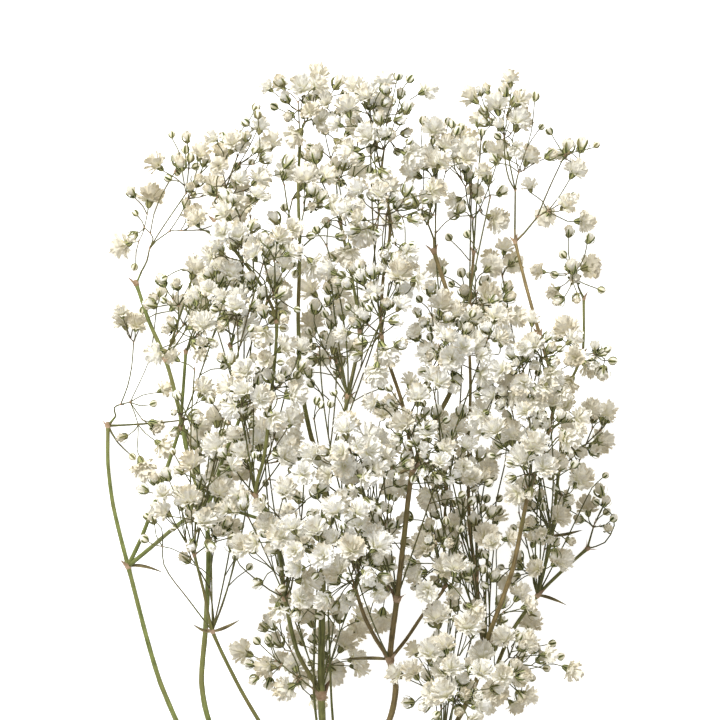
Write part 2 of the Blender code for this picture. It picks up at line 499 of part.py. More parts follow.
class Spray:
    """Lays the stalks and pedicels of one spray, fork by fork, clear of everything laid before them."""

    def __init__(self, name, room, rng):
        self.name, self.room, self.rng = name, room, rng
        self.count, self.worst = 0, 99.0

    def room_for(self, line, radius, parent, skip):
        """How much more room a twig has than it needs, and how far it keeps ahead where it grows."""
        near = {twig["part"] for twig in parent["children"]}
        behind = {parent["part"], parent["part"] + FAR_PART} | skip
        others, own = self.room.around(line[:2], radius, self.name, behind | near)
        free = min(others - CLEAR, own - OWN_CLEAR)
        others, own = self.room.around(line[1:], radius, self.name, behind)
        free = min(free, others - CLEAR, own - OWN_CLEAR)
        ahead = float(unit(line[1] - line[0]) @ parent["way"])
        return min(free, AHEAD_WORTH * (ahead - LEAST_AHEAD))

    def keep(self, twig, parent, radius):
        line = twig["line"]
        self.count += 1
        self.worst = min(self.worst, twig["free"])
        twig["part"] = FIRST_PART + self.count
        twig["way"] = unit(line[-1] - line[-2])
        self.room.take(line[:2], radius, self.name, twig["part"])
        if len(line) > 2:
            self.room.take(line[1:], radius, self.name, twig["part"] + FAR_PART)
        parent["children"].append(twig)

    def lay_pedicel(self, parent, start, tip):
        """The last stalk, from a fork to one head: it bows clear of what is near and turns the head."""
        size, rng = tip["size"], self.rng
        skip = {tip["number"]}
        best, best_free = None, -99.0
        for step in range(BEND_TRIES):
            sway = drawn(rng) * (0.15 + 0.012 * step)
            axis = unit(unit(tip["at"] - start) + sway + HEAD_LEAN)
            foot = tip["at"] - axis * size * HEAD_NECK[tip["kind"]]
            length = float(np.linalg.norm(foot - start))
            bow = drawn(rng) * length * 0.012 * step
            line = bent(start, parent["way"], foot, bow, int(length > LONG_PEDICEL or step > 6))
            free = min(line[:, 2].min() - PEDICEL_LIFT, length - LEAST_PEDICEL)
            free = min(free, self.room_for(line, PEDICEL_SIZE, parent, skip))
            neck, own_neck = self.room.around([foot, tip["at"]], NECK_SIZE * size, self.name, skip)
            free = min(free, neck - CLEAR, own_neck, float(unit(foot - line[-2]) @ axis) - 0.1)
            if free > best_free:
                best, best_free = {"line": line, "axis": axis, "head": tip, "free": free}, free
            if free >= 0:
                break
        self.keep(best, parent, PEDICEL_SIZE)
        self.room.take([best["line"][-1], tip["at"]], NECK_SIZE * size, self.name, tip["number"])

    def lay_stalk(self, parent, start, tips, size):
        """One stalk up to a fork, then all that grows from the fork, down to the heads."""
        rng = self.rng
        places = np.array([tip["at"] for tip in tips])
        sizes = np.array([tip["size"] for tip in tips])
        middle = places.mean(axis=0)
        span = middle - start
        length = float(np.linalg.norm(span))
        spread = float(np.linalg.norm(places - middle, axis=1).max())
        levels = 0 if len(tips) <= 3 else 1
        back = min(max(1.1 * spread + FORK_BACK, LEAST_BACK) + LEVEL_BACK * levels, MOST_BACK * length)
        best, best_free = None, -99.0
        for step in range(FORK_TRIES):
            reach = max((length - back) * (1 + rng.uniform(-0.004, 0.004) * step), LEAST_STALK)
            fork = start + unit(span + drawn(rng) * length * (0.05 + 0.008 * step)) * reach
            bow = drawn(rng) * 0.01 * step * length
            line = bent(start, parent["way"], fork, bow, 1 if reach < LONG_STALK else 2)
            tested = line.copy()
            if parent["part"] < 0:
                tested[0] += 1.6 * unit(line[1] - line[0])
            way = unit(line[-1] - line[-2])
            shortest = float(np.linalg.norm(np.diff(line, axis=0), axis=1).min())
            free = min(line[:, 2].min() - STALK_LIFT, shortest - LEAST_PIECE)
            free = min(free, self.room_for(tested, size, parent, set()))
            behind = {parent["part"], parent["part"] + FAR_PART}
            others, own = self.room.around([fork], FORK_SIZE, self.name, behind)
            gaps = np.linalg.norm(places - fork, axis=1)
            ahead = float(((places - fork) @ way / gaps).min())
            free = min(free, others - CLEAR, own - OWN_CLEAR, AHEAD_WORTH * (ahead - LEAST_AHEAD))
            free = min(free, float((gaps - 0.5 * sizes).min()) - HEAD_REACH - 0.5 * LEVEL_BACK * levels)
            if free > best_free:
                best, best_free = {"line": line, "size": size, "children": [], "free": free}, free
            if free >= 0:
                break
        self.keep(best, parent, size)
        fork = best["line"][-1]
        for group in split(tips, fork):
            self.grow(best, fork, group, max(size * THINNER, THINNEST))
        return best

    def grow(self, parent, start, tips, size):
        """What grows from one point: a single pedicel, or a stalk that forks."""
        if len(tips) == 1:
            self.lay_pedicel(parent, start, tips[0])
        else:
            self.lay_stalk(parent, start, tips, size)


def lay_spray(name, knot, tips, room, rng):
    """Lays one spray from its stub, more than once where its twigs come too near to others."""
    way = knot["sprays"][name]
    foot = knot["at"] + way * (STUB + SEAM)
    near = room.near([foot] + [tip["at"] for tip in tips], SPRAY_REACH)
    before = near.taken()
    best, best_worst, after = None, -99.0, before
    for _ in range(SPRAY_TRIES):
        near.set_back(before)
        spray = Spray(name, near, rng)
        root = spray.lay_stalk({"part": -1, "children": [], "way": way}, foot, tips, STUB_SIZE)
        if spray.worst > best_worst:
            best, best_worst, after = root, spray.worst, near.taken()
        if best_worst >= 0:
            break
    near.set_back(after)
    room.add(near, len(before[0]))
    best["from"] = way
    return best


def plan():
    """The whole plant as lines, radii and heads, in millimetres."""
    rng = random.Random(SEED)
    room = Room()
    stems, knots = lay_stems(room)
    lay_stubs(knots, room, rng)
    heads = lay_heads(room, rng)
    sprays = {}
    for name, (start, _, _) in SPRAYS.items():
        tips = [head for head in heads if head["spray"] == name]
        sprays[name] = lay_spray(name, knots[start], tips, room, rng)
    return stems, knots, sprays


def material(name, colour, roughness):
    made = bpy.data.materials.new(name)
    made.use_nodes = True
    surface = made.node_tree.nodes["Principled BSDF"]
    surface.inputs["Base Color"].default_value = (*colour, 1)
    surface.inputs["Roughness"].default_value = roughness
    surface.inputs["Metallic"].default_value = 0
    made.diffuse_color = (*colour, 1)
    return made


def corner(vert):
    return np.array(vert.co, float)


def ring(bm, centre, across, up, radius, count, turn=0.0, wave=None):
    """New points round a centre; wave gives each a factor for its radius and a lift along the axis."""
    way = np.cross(across, up)
    points = []
    for k in range(count):
        angle = turn + 2 * math.pi * k / count
        grown, lift = wave(k) if wave else (1.0, 0.0)
        spoke = math.cos(angle) * across + math.sin(angle) * up
        points.append(bm.verts.new(centre + radius * grown * spoke + lift * way))
    return points


def bridge(bm, low, high, slot):
    """Joins two rings with triangles, in turn round them where their counts differ; a point closes an end."""
    faces = []
    if len(low) == len(high):
        for a, b, c, d in zip(low, low[1:] + low[:1], high[1:] + high[:1], high):
            if (b.co - d.co).length <= (a.co - c.co).length:
                faces += [(a, b, d), (b, c, d)]
            else:
                faces += [(a, b, c), (a, c, d)]
    else:
        low_count = len(low) if len(low) > 1 else 0
        high_count = len(high) if len(high) > 1 else 0
        i = j = 0
        while i < low_count or j < high_count:
            low_next = (i + 1) / low_count if i < low_count else 9.0
            high_next = (j + 1) / high_count if j < high_count else 9.0
            if low_next <= high_next:
                faces.append((low[i], low[(i + 1) % low_count], high[j % len(high)]))
                i += 1
            else:
                faces.append((low[i % len(low)], high[(j + 1) % high_count], high[j]))
                j += 1
    for corners in faces:
        bm.faces.new(corners).material_index = slot


def straight_across(base, centre, way, radius):
    """The side way for a ring whose corners lie nearest those of the base that it is bridged to."""
    corners = np.array([corner(vert) for vert in base])
    side = unit(np.cross(way, (0.31, 0.17, 0.93)))
    best, best_sum = side, 1e9
    for step in range(TURN_STEPS):
        turn = 2 * math.pi * step / TURN_STEPS
        across = math.cos(turn) * side + math.sin(turn) * np.cross(way, side)
        up = np.cross(way, across)
        angles = [2 * math.pi * k / len(base) for k in range(len(base))]
        spots = [centre + radius * (math.cos(angle) * across + math.sin(angle) * up) for angle in angles]
        total = float(((corners - spots) ** 2).sum())
        if total < best_sum:
            best, best_sum = across, total
    return best


def carry(bm, base, line, radii, end_way):
    """Carries a twig with its base's number of sides through the points of a line, without a twist."""
    ways = [unit(b - a) for a, b in zip(line[:-1], line[1:])] + [end_way]
    ways = [unit(a + b) for a, b in zip(ways[:-1], ways[1:])]
    across = straight_across(base, line[1], ways[0], radii[0])
    last = base
    for point, way, radius in zip(line[1:], ways, radii):
        across = unit(across - way * float(across @ way))
        new = ring(bm, point, across, np.cross(way, across), radius, len(base))
        bridge(bm, last, new, 0)
        last = new
    return last, across


def petal_wave(rng, notch, lift):
    """Round a flower: petal tips reach out and up, with notches between them, and no two are alike."""
    def wave(k):
        if k % 2:
            return notch * rng.uniform(0.88, 1.1), -lift * rng.uniform(0.5, 1.0)
        return rng.uniform(0.88, 1.1), lift * rng.uniform(0.3, 1.0)
    return wave


def add_head(bm, base, across, foot, axis, head, rng):
    """A head on its pedicel: a bud, a half open flower, or a full one with petals in two layers."""
    size, turn, kind = head["size"], head["turn"] % 1.0, head["kind"]
    up = np.cross(axis, across)
    if kind == "bud":
        belly = ring(bm, foot + axis * size * 0.42, across, up, size * 0.5, 4, turn)
        bridge(bm, base, belly, 0)
        bridge(bm, belly, [bm.verts.new(foot + axis * size * 1.12)], 1)
        return
    if kind == "half":
        wave = petal_wave(rng, 0.74, size * 0.12)
        mouth = ring(bm, foot + axis * size * 0.66, across, up, size * 0.52, 2 * PETALS - 2, turn, wave)
        bridge(bm, base, mouth, 0)
        bridge(bm, mouth, [bm.verts.new(foot + axis * size * 1.05)], 1)
        return
    calyx = ring(bm, foot + axis * size * 0.24, across, up, size * 0.15, 3)
    wave = petal_wave(rng, 0.66, size * 0.08)
    outer = ring(bm, foot + axis * size * 0.5, across, up, size * 0.5, 2 * PETALS, turn, wave)
    inner = ring(
        bm, foot + axis * size * 0.84, across, up, size * 0.31, PETALS, turn + math.pi / PETALS,
        lambda _: (rng.uniform(0.85, 1.15), size * rng.uniform(-0.03, 0.08)))
    bridge(bm, base, calyx, 0)
    bridge(bm, calyx, outer, 0)
    bridge(bm, outer, inner, 1)
    bridge(bm, inner, [bm.verts.new(foot + axis * size * 0.7)], 1)


def turned_fork(across, up, way, children):
    """How a fork's knot is turned so that its three faces look along its twigs, and each twig's face."""
    best, best_score = None, -99.0
    for step in range(-6, 7):
        turn = step * math.pi / 18
        spokes = [
            math.cos(turn + 2 * math.pi * k / 3) * across + math.sin(turn + 2 * math.pi * k / 3) * up
            for k in range(3)]
        normals = [unit(FORK_LOOK * way - spoke) for spoke in spokes]
        for faces in itertools.permutations(range(3), len(children)):
            score = min(float(normals[face] @ child) for face, child in zip(faces, children))
            if score > best_score:
                best, best_score = (turn, faces), score
    return best


def add_twig(bm, base, twig, rng):
    """Adds a twig to the corners that it grows from, with all that grows from it in turn."""
    line = twig["line"]
    if "head" in twig:
        radii = [PEDICEL_SIZE] * (len(line) - 1)
        last, across = carry(bm, base, line, radii, twig["axis"])
        add_head(bm, last, across, line[-1], twig["axis"], twig["head"], rng)
        return
    way = unit(line[-1] - line[-2])
    last, across = carry(bm, base, line[:-1], [twig["size"]] * (len(line) - 2), way)
    across = unit(across - way * float(across @ way))
    up = np.cross(way, across)
    children = twig["children"]
    ahead = [unit(child["line"][1] - child["line"][0]) for child in children]
    turn, faces = turned_fork(across, up, way, ahead)
    rim = ring(bm, line[-1], across, up, FORK_SIZE, 3, turn)
    bridge(bm, last, rim, 0)
    top = bm.verts.new(line[-1] + way * FORK_SIZE * 0.5)
    for k in range(3):
        sides = [rim[(k + 1) % 3], rim[(k + 2) % 3], top]
        if k in faces:
            add_twig(bm, sides, children[faces.index(k)], rng)
        else:
            bm.faces.new(sides)


def to_mesh(bm, name):
    """The finished mesh, moved from the plan's millimetres to metres round the origin."""
    moved = Matrix.Scale(MM, 4) @ Matrix.Translation(-Vector(MIDDLE))
    bmesh.ops.transform(bm, matrix=moved, verts=bm.verts)
    mesh = bpy.data.meshes.new(name)
    bm.to_mesh(mesh)
    bm.free()
    return mesh


def spray_mesh(name, root, rng):
    """One spray as one closed mesh, grown face by face from the foot of its first stalk."""
    bm = bmesh.new()
    across = unit(np.cross(root["from"], (0.31, 0.17, 0.93)))
    foot = ring(bm, root["line"][0], across, np.cross(root["from"], across), STUB_SIZE, 3)
    bm.faces.new(foot[::-1])
    add_twig(bm, foot, root, rng)
    return to_mesh(bm, name)


def tube(line, radii, sides):
    """A tapering tube: a curve with a bevel and filled caps, made a mesh with its caps welded on."""
    curve = bpy.data.curves.new("tube", "CURVE")
    curve.dimensions = "3D"
    curve.bevel_depth = MM
    curve.bevel_resolution = (sides - 4) // 2
    curve.use_fill_caps = True
    spline = curve.splines.new("POLY")
    spline.points.add(len(line) - 1)
    for point, place, radius in zip(spline.points, line, radii):
        point.co = (*((place - MIDDLE) * MM), 1)
        point.radius = radius
    made = bpy.data.objects.new("tube", curve)
    bpy.context.scene.collection.objects.link(made)
    mesh = bpy.data.meshes.new_from_object(made.evaluated_get(bpy.context.evaluated_depsgraph_get()))
    bpy.data.objects.remove(made)
    bm = bmesh.new()
    bm.from_mesh(mesh)
    bmesh.ops.remove_doubles(bm, verts=bm.verts, dist=WELD)
    bm.to_mesh(mesh)
    bm.free()
    return mesh


def knotted(route):
    """A route's points and radii with a short swelling at each of its knots."""
    line, radii = [], []
    last = len(route["line"]) - 1
    for index, (point, radius, label) in enumerate(zip(route["line"], route["radii"], route["labels"])):
        if label is None:
            line.append(point)
            radii.append(radius)
            continue
        back = unit(route["line"][index - 1] - point)
        line += [point + back * KNOT_LENGTH, point]
        radii += [radius, radius * KNOT_SWELL]
        ahead = unit(route["line"][index + 1] - point) if index < last else -back
        line.append(point + ahead * (KNOT_LENGTH if index < last else KNOT_END))
        radii.append(radius if index < last else radius * 0.8)
    return line, radii


def blade(start, way, bend, length):
    """A narrow pointed leaf, thick enough to be a solid, that bends to one side at its tip."""
    way, bend = unit(np.array(way, float)), unit(np.array(bend, float))
    bm = bmesh.new()
    last = None
    for step, grown in ((0.0, 0.7), (0.35, 1.0), (0.7, 0.75)):
        place = start + way * length * step + bend * length * LEAF_BEND * step ** 2
        along = unit(way + bend * 2 * LEAF_BEND * step)
        across = unit(np.cross(along, np.cross(way, bend)))
        up = np.cross(along, across)
        new = ring(bm, place, across * LEAF_WIDTH, up * LEAF_THICK, 0.5 * grown, 4)
        if last:
            bridge(bm, last, new, 0)
        else:
            bm.faces.new(new[::-1])
        last = new
    bridge(bm, last, [bm.verts.new(start + way * length + bend * length * LEAF_BEND)], 0)
    return to_mesh(bm, "leaf")


def sides_for(thick):
    return SIDES_THICK if thick > THICK_STEM else SIDES_THIN


def stem_pieces(name, routes, knots):
    """The meshes that one stem node is fused from: tubes, the stubs that twigs grow from, and leaves."""
    pieces = []
    for route in routes:
        line, radii = knotted(route)
        pieces.append(tube(line, radii, sides_for(route["thick"])))
    for knot in knots.values():
        if knot["stem"] == name:
            pieces += [
                tube([knot["at"], knot["at"] + way * STUB], [radius] * 2, sides_for(2 * radius))
                for way, radius in knot["stubs"]]
    for label, way, bend, length in LEAVES.get(name, ()):
        pieces.append(blade(knots[label]["at"], way, bend, length))
    return pieces


def fused(name, meshes):
    """One mesh from many: a Boolean union on a collection, applied, with its objects removed."""
    first = bpy.data.objects.new(name, meshes[0])
    bpy.context.scene.collection.objects.link(first)
    others = bpy.data.collections.new(name + "_parts")
    bpy.context.scene.collection.children.link(others)
    for mesh in meshes[1:]:
        others.objects.link(bpy.data.objects.new("part", mesh))
    union = first.modifiers.new("union", "BOOLEAN")
    union.operation = "UNION"
    union.operand_type = "COLLECTION"
    union.collection = others
    union.solver = "EXACT"
    mesh = bpy.data.meshes.new_from_object(first.evaluated_get(bpy.context.evaluated_depsgraph_get()))
    for part in [first, *others.objects]:
        bpy.data.objects.remove(part)
    bpy.data.collections.remove(others)
    return mesh


def trim_to_surface(mesh):
    """Cuts off what lies under the surface, which leaves the small flat spots that the plant rests on."""
    if min(vert.co.z for vert in mesh.vertices) >= 0:
        return
    bm = bmesh.new()
    bm.from_mesh(mesh)
    faces = bm.verts[:] + bm.edges[:] + bm.faces[:]
    cut = bmesh.ops.bisect_plane(bm, geom=faces, plane_co=(0, 0, 0), plane_no=(0, 0, 1), clear_inner=True)
    edges = [item for item in cut["geom_cut"] if isinstance(item, bmesh.types.BMEdge)]
    bmesh.ops.holes_fill(bm, edges=edges)
    bmesh.ops.recalc_face_normals(bm, faces=bm.faces)
    bm.to_mesh(mesh)
    bm.free()


def add_node(name, mesh, materials, plant):
    """Puts a finished mesh in the plant's collection as the node of that name."""
    trim_to_surface(mesh)
    mesh.materials.clear()
    for each in materials:
        mesh.materials.append(each)
    plant.objects.link(bpy.data.objects.new(name, mesh))


def main():
    for old in list(bpy.data.objects):
        bpy.data.objects.remove(old)
    plant = bpy.data.collections.new("gypsophila_stem")
    bpy.context.scene.collection.children.link(plant)
    stems, knots, sprays = plan()
    for name, routes in stems.items():
        add_node(name, fused(name, stem_pieces(name, routes, knots)), [
            material(name + "_skin", STEMS[name][0], 0.7)], plant)
    rng = random.Random(SEED + 1)
    for name, root in sprays.items():
        add_node(name, spray_mesh(name, root, rng), [
            material(name + "_stalks", LIGHT_GREEN, 0.75), material(name + "_petals", CREAM, 0.85)], plant)


main()
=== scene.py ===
"""The looks of a cut stem of dried double gypsophila, seen from above as it lies on a white surface.

The stem's plan is the one that its solids were made from: places are in millimetres, X across the stem,
Y along it from the cut end to the flowers, Z up, and MIDDLE moves the origin under the middle of the plant.
"""

import collections
import json
import math
import random

import bpy
import numpy as np
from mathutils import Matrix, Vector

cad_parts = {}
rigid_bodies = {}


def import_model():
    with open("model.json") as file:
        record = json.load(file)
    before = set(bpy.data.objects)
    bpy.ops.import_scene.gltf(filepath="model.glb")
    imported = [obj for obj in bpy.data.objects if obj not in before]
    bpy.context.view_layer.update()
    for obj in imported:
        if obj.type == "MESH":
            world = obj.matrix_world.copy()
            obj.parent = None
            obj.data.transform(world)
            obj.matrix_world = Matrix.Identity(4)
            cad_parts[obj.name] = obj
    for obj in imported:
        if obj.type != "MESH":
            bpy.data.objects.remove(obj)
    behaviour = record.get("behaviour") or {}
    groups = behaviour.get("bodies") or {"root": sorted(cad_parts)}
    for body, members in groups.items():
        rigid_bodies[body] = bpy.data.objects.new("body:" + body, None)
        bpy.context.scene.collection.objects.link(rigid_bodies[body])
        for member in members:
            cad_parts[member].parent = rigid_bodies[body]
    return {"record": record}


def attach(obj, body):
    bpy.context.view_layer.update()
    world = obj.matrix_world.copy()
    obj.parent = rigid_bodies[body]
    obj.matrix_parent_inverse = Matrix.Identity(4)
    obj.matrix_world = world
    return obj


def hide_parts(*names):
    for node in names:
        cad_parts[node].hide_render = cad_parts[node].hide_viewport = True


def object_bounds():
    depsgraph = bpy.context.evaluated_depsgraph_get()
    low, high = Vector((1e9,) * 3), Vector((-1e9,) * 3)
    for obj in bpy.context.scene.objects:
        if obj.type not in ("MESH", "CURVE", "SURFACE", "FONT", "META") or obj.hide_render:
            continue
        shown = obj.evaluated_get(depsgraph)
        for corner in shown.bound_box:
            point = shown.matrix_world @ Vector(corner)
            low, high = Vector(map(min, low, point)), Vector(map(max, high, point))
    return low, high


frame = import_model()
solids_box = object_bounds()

MM = 0.001
SEED = 5
MIDDLE = np.array([10.0, 197.0, 0.0])
# The corners of the box that the added heads keep to.
LOW, HIGH = (np.array(corner) / MM + MIDDLE for corner in solids_box)
LOW = LOW + np.array([0, 0, 0.3])

SEAM = 0.3                 # gap between a twig and the stub that it grows from
CLEAR = 0.4                # least gap between twigs of different nodes
STUB = 4.2                 # length of the stubs that stand out of a stem's knots
STUB_ANGLE = 0.56          # least angle between two twigs at one knot, in radians
STUB_SIZE = 0.72           # radius of a spray's stub and of its first stalk
FORK_SIZE = 0.85           # radius of the knot where a stalk forks
PEDICEL_SIZE = 0.44        # radius of a three sided pedicel, 0.66 mm thick
REST_DEPTH = 0.41          # height of a resting head's middle, over its diameter
HEAD_GAP = 0.7             # least gap between heads of different sprays
DEPTH_SPREAD = 5.0         # how far heads of one tuft lie above and below each other

# Sizes of the heads: least and most diameter.
HEADS = {"full": (7.4, 9.4), "half": (4.6, 5.8), "bud": (2.9, 3.6)}

# The routes of each stem node. A route starts at a knot of another route, or at None, tapers between two
# diameters, and has its points in order. A fourth item names the knot at that point.
STEMS = {
    "stem_main": [
        (None, 3.8, 2.5, [
            (0, -4, 1.45), (0.5, 30, 1.5), (2, 62, 3.4), (3, 95, 8, "fork_low"),
            (1, 128, 13, "fork_second"), (-1, 152, 18, "fork_third"), (-3, 187, 25, "fork_fourth"),
            (-2.6, 219, 30), (-2.2, 243, 34.5), (-1.2, 262, 38, "fork_top")]),
        ("fork_top", 1.9, 1.1, [
            (-6, 273, 42), (-9.5, 291, 45), (-10.5, 313, 45.5), (-10, 336, 44, "upper_knot"),
            (-10.5, 355, 43), (-10, 371, 42, "top_knot")]),
        ("fork_top", 1.8, 1.1, [
            (3, 273, 36), (6, 287, 33, "centre_knot"), (10, 309, 30, "centre_mid_knot"),
            (7, 328, 28), (3.5, 345, 27, "upper_right_knot")]),
    ],
    "branch_left": [
        ("fork_low", 2.6, 1.5, [
            (-18, 120, 9.5), (-40, 153, 8), (-57.5, 190, 6), (-68.5, 229.5, 4.5, "left_node"),
            (-73.6, 250, 3.4), (-75.4, 264, 2.4), (-75.5, 277, 0.75, "left_rest")]),
        ("left_node", 1.8, 1.2, [
            (-63.5, 240, 9), (-57, 257, 19), (-50.3, 276.5, 30, "left_cross_knot"),
            (-49, 289, 34), (-48, 302, 37, "left_mid_knot")]),
        ("left_node", 1.8, 1.2, [
            (-60, 236.5, 10.5), (-50.5, 244.5, 22), (-41, 250.7, 30, "cross_node"),
            (-35.5, 267, 36), (-29, 284, 41, "dark_knot"), (-33, 304, 45, "dark_top")]),
        ("cross_node", 1.4, 1.0, [
            (-32, 249, 33), (-20, 245.3, 40), (-13, 243, 46), (-6, 245, 52), (4, 254.5, 56, "arm_knot")]),
    ],
    "branch_left_back": [
        ("fork_second", 2.6, 1.5, [
            (-15, 141, 13), (-31, 160, 13), (-41, 178, 13.5), (-43.4, 191, 14), (-42, 209, 14.5),
            (-41, 232, 15), (-42, 248, 15), (-47.5, 265, 14.5), (-51, 283, 14),
            (-55.5, 299.5, 13, "green_knot"), (-61, 312, 12), (-65.5, 325, 11, "left_tip_knot")]),
    ],
    "branch_left_low": [
        ("fork_third", 1.9, 1.1, [
            (-13, 162, 21), (-23, 177, 24.5), (-30.5, 190, 27), (-39.3, 208.7, 31, "leaf_node"),
            (-42, 222, 36), (-45, 234.5, 42, "low_knot")]),
    ],
    "branch_centre_left": [
        ("fork_fourth", 1.8, 1.1, [
            (-11, 202, 31.5), (-15, 220, 37, "olive_knot"), (-17, 237, 44), (-24.5, 254.5, 52, "red_knot"),
            (-21.5, 268, 56), (-19, 290, 58), (-17.5, 312, 58, "centre_left_knot"), (-22, 323, 57),
            (-30, 334, 54), (-38, 345, 51, "top_left_knot")]),
    ],
    "branch_brown": [
        ("fork_third", 2.6, 1.5, [
            (11, 164, 19), (20, 179, 24), (22, 190, 28), (20, 199.3, 32, "brown_node"),
            (22.3, 220, 40, "brown_side"), (24.3, 238, 46), (27.5, 263.5, 52, "red_bract_knot"),
            (33, 276, 54), (41, 292, 55, "brown_knot"), (40.5, 315, 54), (34.5, 335, 52, "brown_top")]),
        ("brown_node", 1.8, 1.4, [(15.5, 206, 36), (11.5, 214, 41), (8.3, 224, 46, "clump_knot")]),
        ("brown_node", 1.5, 1.0, [
            (25.5, 206, 29), (31, 214, 26), (38.5, 223.5, 24, "right_low_knot"),
            (38, 240, 24), (39, 256, 25, "right_low_top")]),
        ("red_bract_knot", 1.5, 1.1, [
            (24.5, 283, 62), (17, 307, 68, "pink_knot"), (17.5, 325, 68), (20, 344, 66, "far_mid"),
            (17, 361, 64, "far_top")]),
    ],
    "branch_right": [
        ("fork_second", 2.4, 1.2, [
            (18, 146, 14), (38, 170, 17, "crop_knot"), (48.5, 190, 21), (52.3, 204.5, 25, "right_node"),
            (57, 218, 31), (61, 230, 36), (66, 255.5, 45, "right_mid_knot"), (71, 270, 48),
            (74.5, 288, 49), (69.5, 307.5, 48, "right_upper_knot"), (65, 324, 46),
            (61.5, 338.5, 44, "right_top_knot")]),
        ("right_node", 1.6, 1.0, [
            (50.3, 214, 22), (49, 226, 20, "pink_low_knot"), (46.8, 243, 22), (46.3, 262, 23),
            (47, 290, 25), (46.5, 312, 27, "inner_knot"), (48, 335, 28, "inner_top")]),
    ],
    "branch_right_outer": [
        ("fork_low", 2.4, 1.3, [
            (24, 121, 9.5), (43, 158, 9), (54, 190, 8, "outer_low"), (61, 207, 7.5),
            (70, 219.7, 7, "outer_node"), (79, 228.5, 4.4), (87, 235.3, 0.65, "right_rest")]),
        ("outer_node", 1.5, 1.0, [
            (72.5, 230, 9.5), (74.7, 240, 11, "up_knot"), (77, 262, 12, "up_low"), (79.5, 288, 12),
            (85, 301.5, 12, "up_high"), (85.5, 320, 11, "up_top")]),
    ],
}

# Narrow curved leaves at some knots: the way of the leaf, the way that its tip bends to, and its length.
LEAVES = {
    "branch_left": [("left_node", (0.95, 0.25, 0.15), (0.45, -0.8, 0.1), 10)],
    "branch_left_low": [
        ("leaf_node", (-0.9, -0.1, 0.1), (-0.2, 0.9, 0.2), 6),
        ("leaf_node", (0.95, 0.1, 0.1), (0.5, 0.7, 0.1), 7)],
    "branch_brown": [
        ("brown_node", (-0.95, 0.15, -0.1), (-0.8, -0.25, -0.1), 11),
        ("red_bract_knot", (0.9, 0.2, -0.2), (0.9, 0.45, 0), 8),
        ("red_bract_knot", (-0.9, -0.1, 0.2), (-0.3, -0.8, 0), 6)],
    "branch_right_outer": [
        ("outer_node", (0.9, 0.05, 0.3), (0.5, -0.8, 0.1), 8),
        ("up_knot", (0.9, 0.1, 0.2), (0.9, 0.3, 0.1), 7)],
}

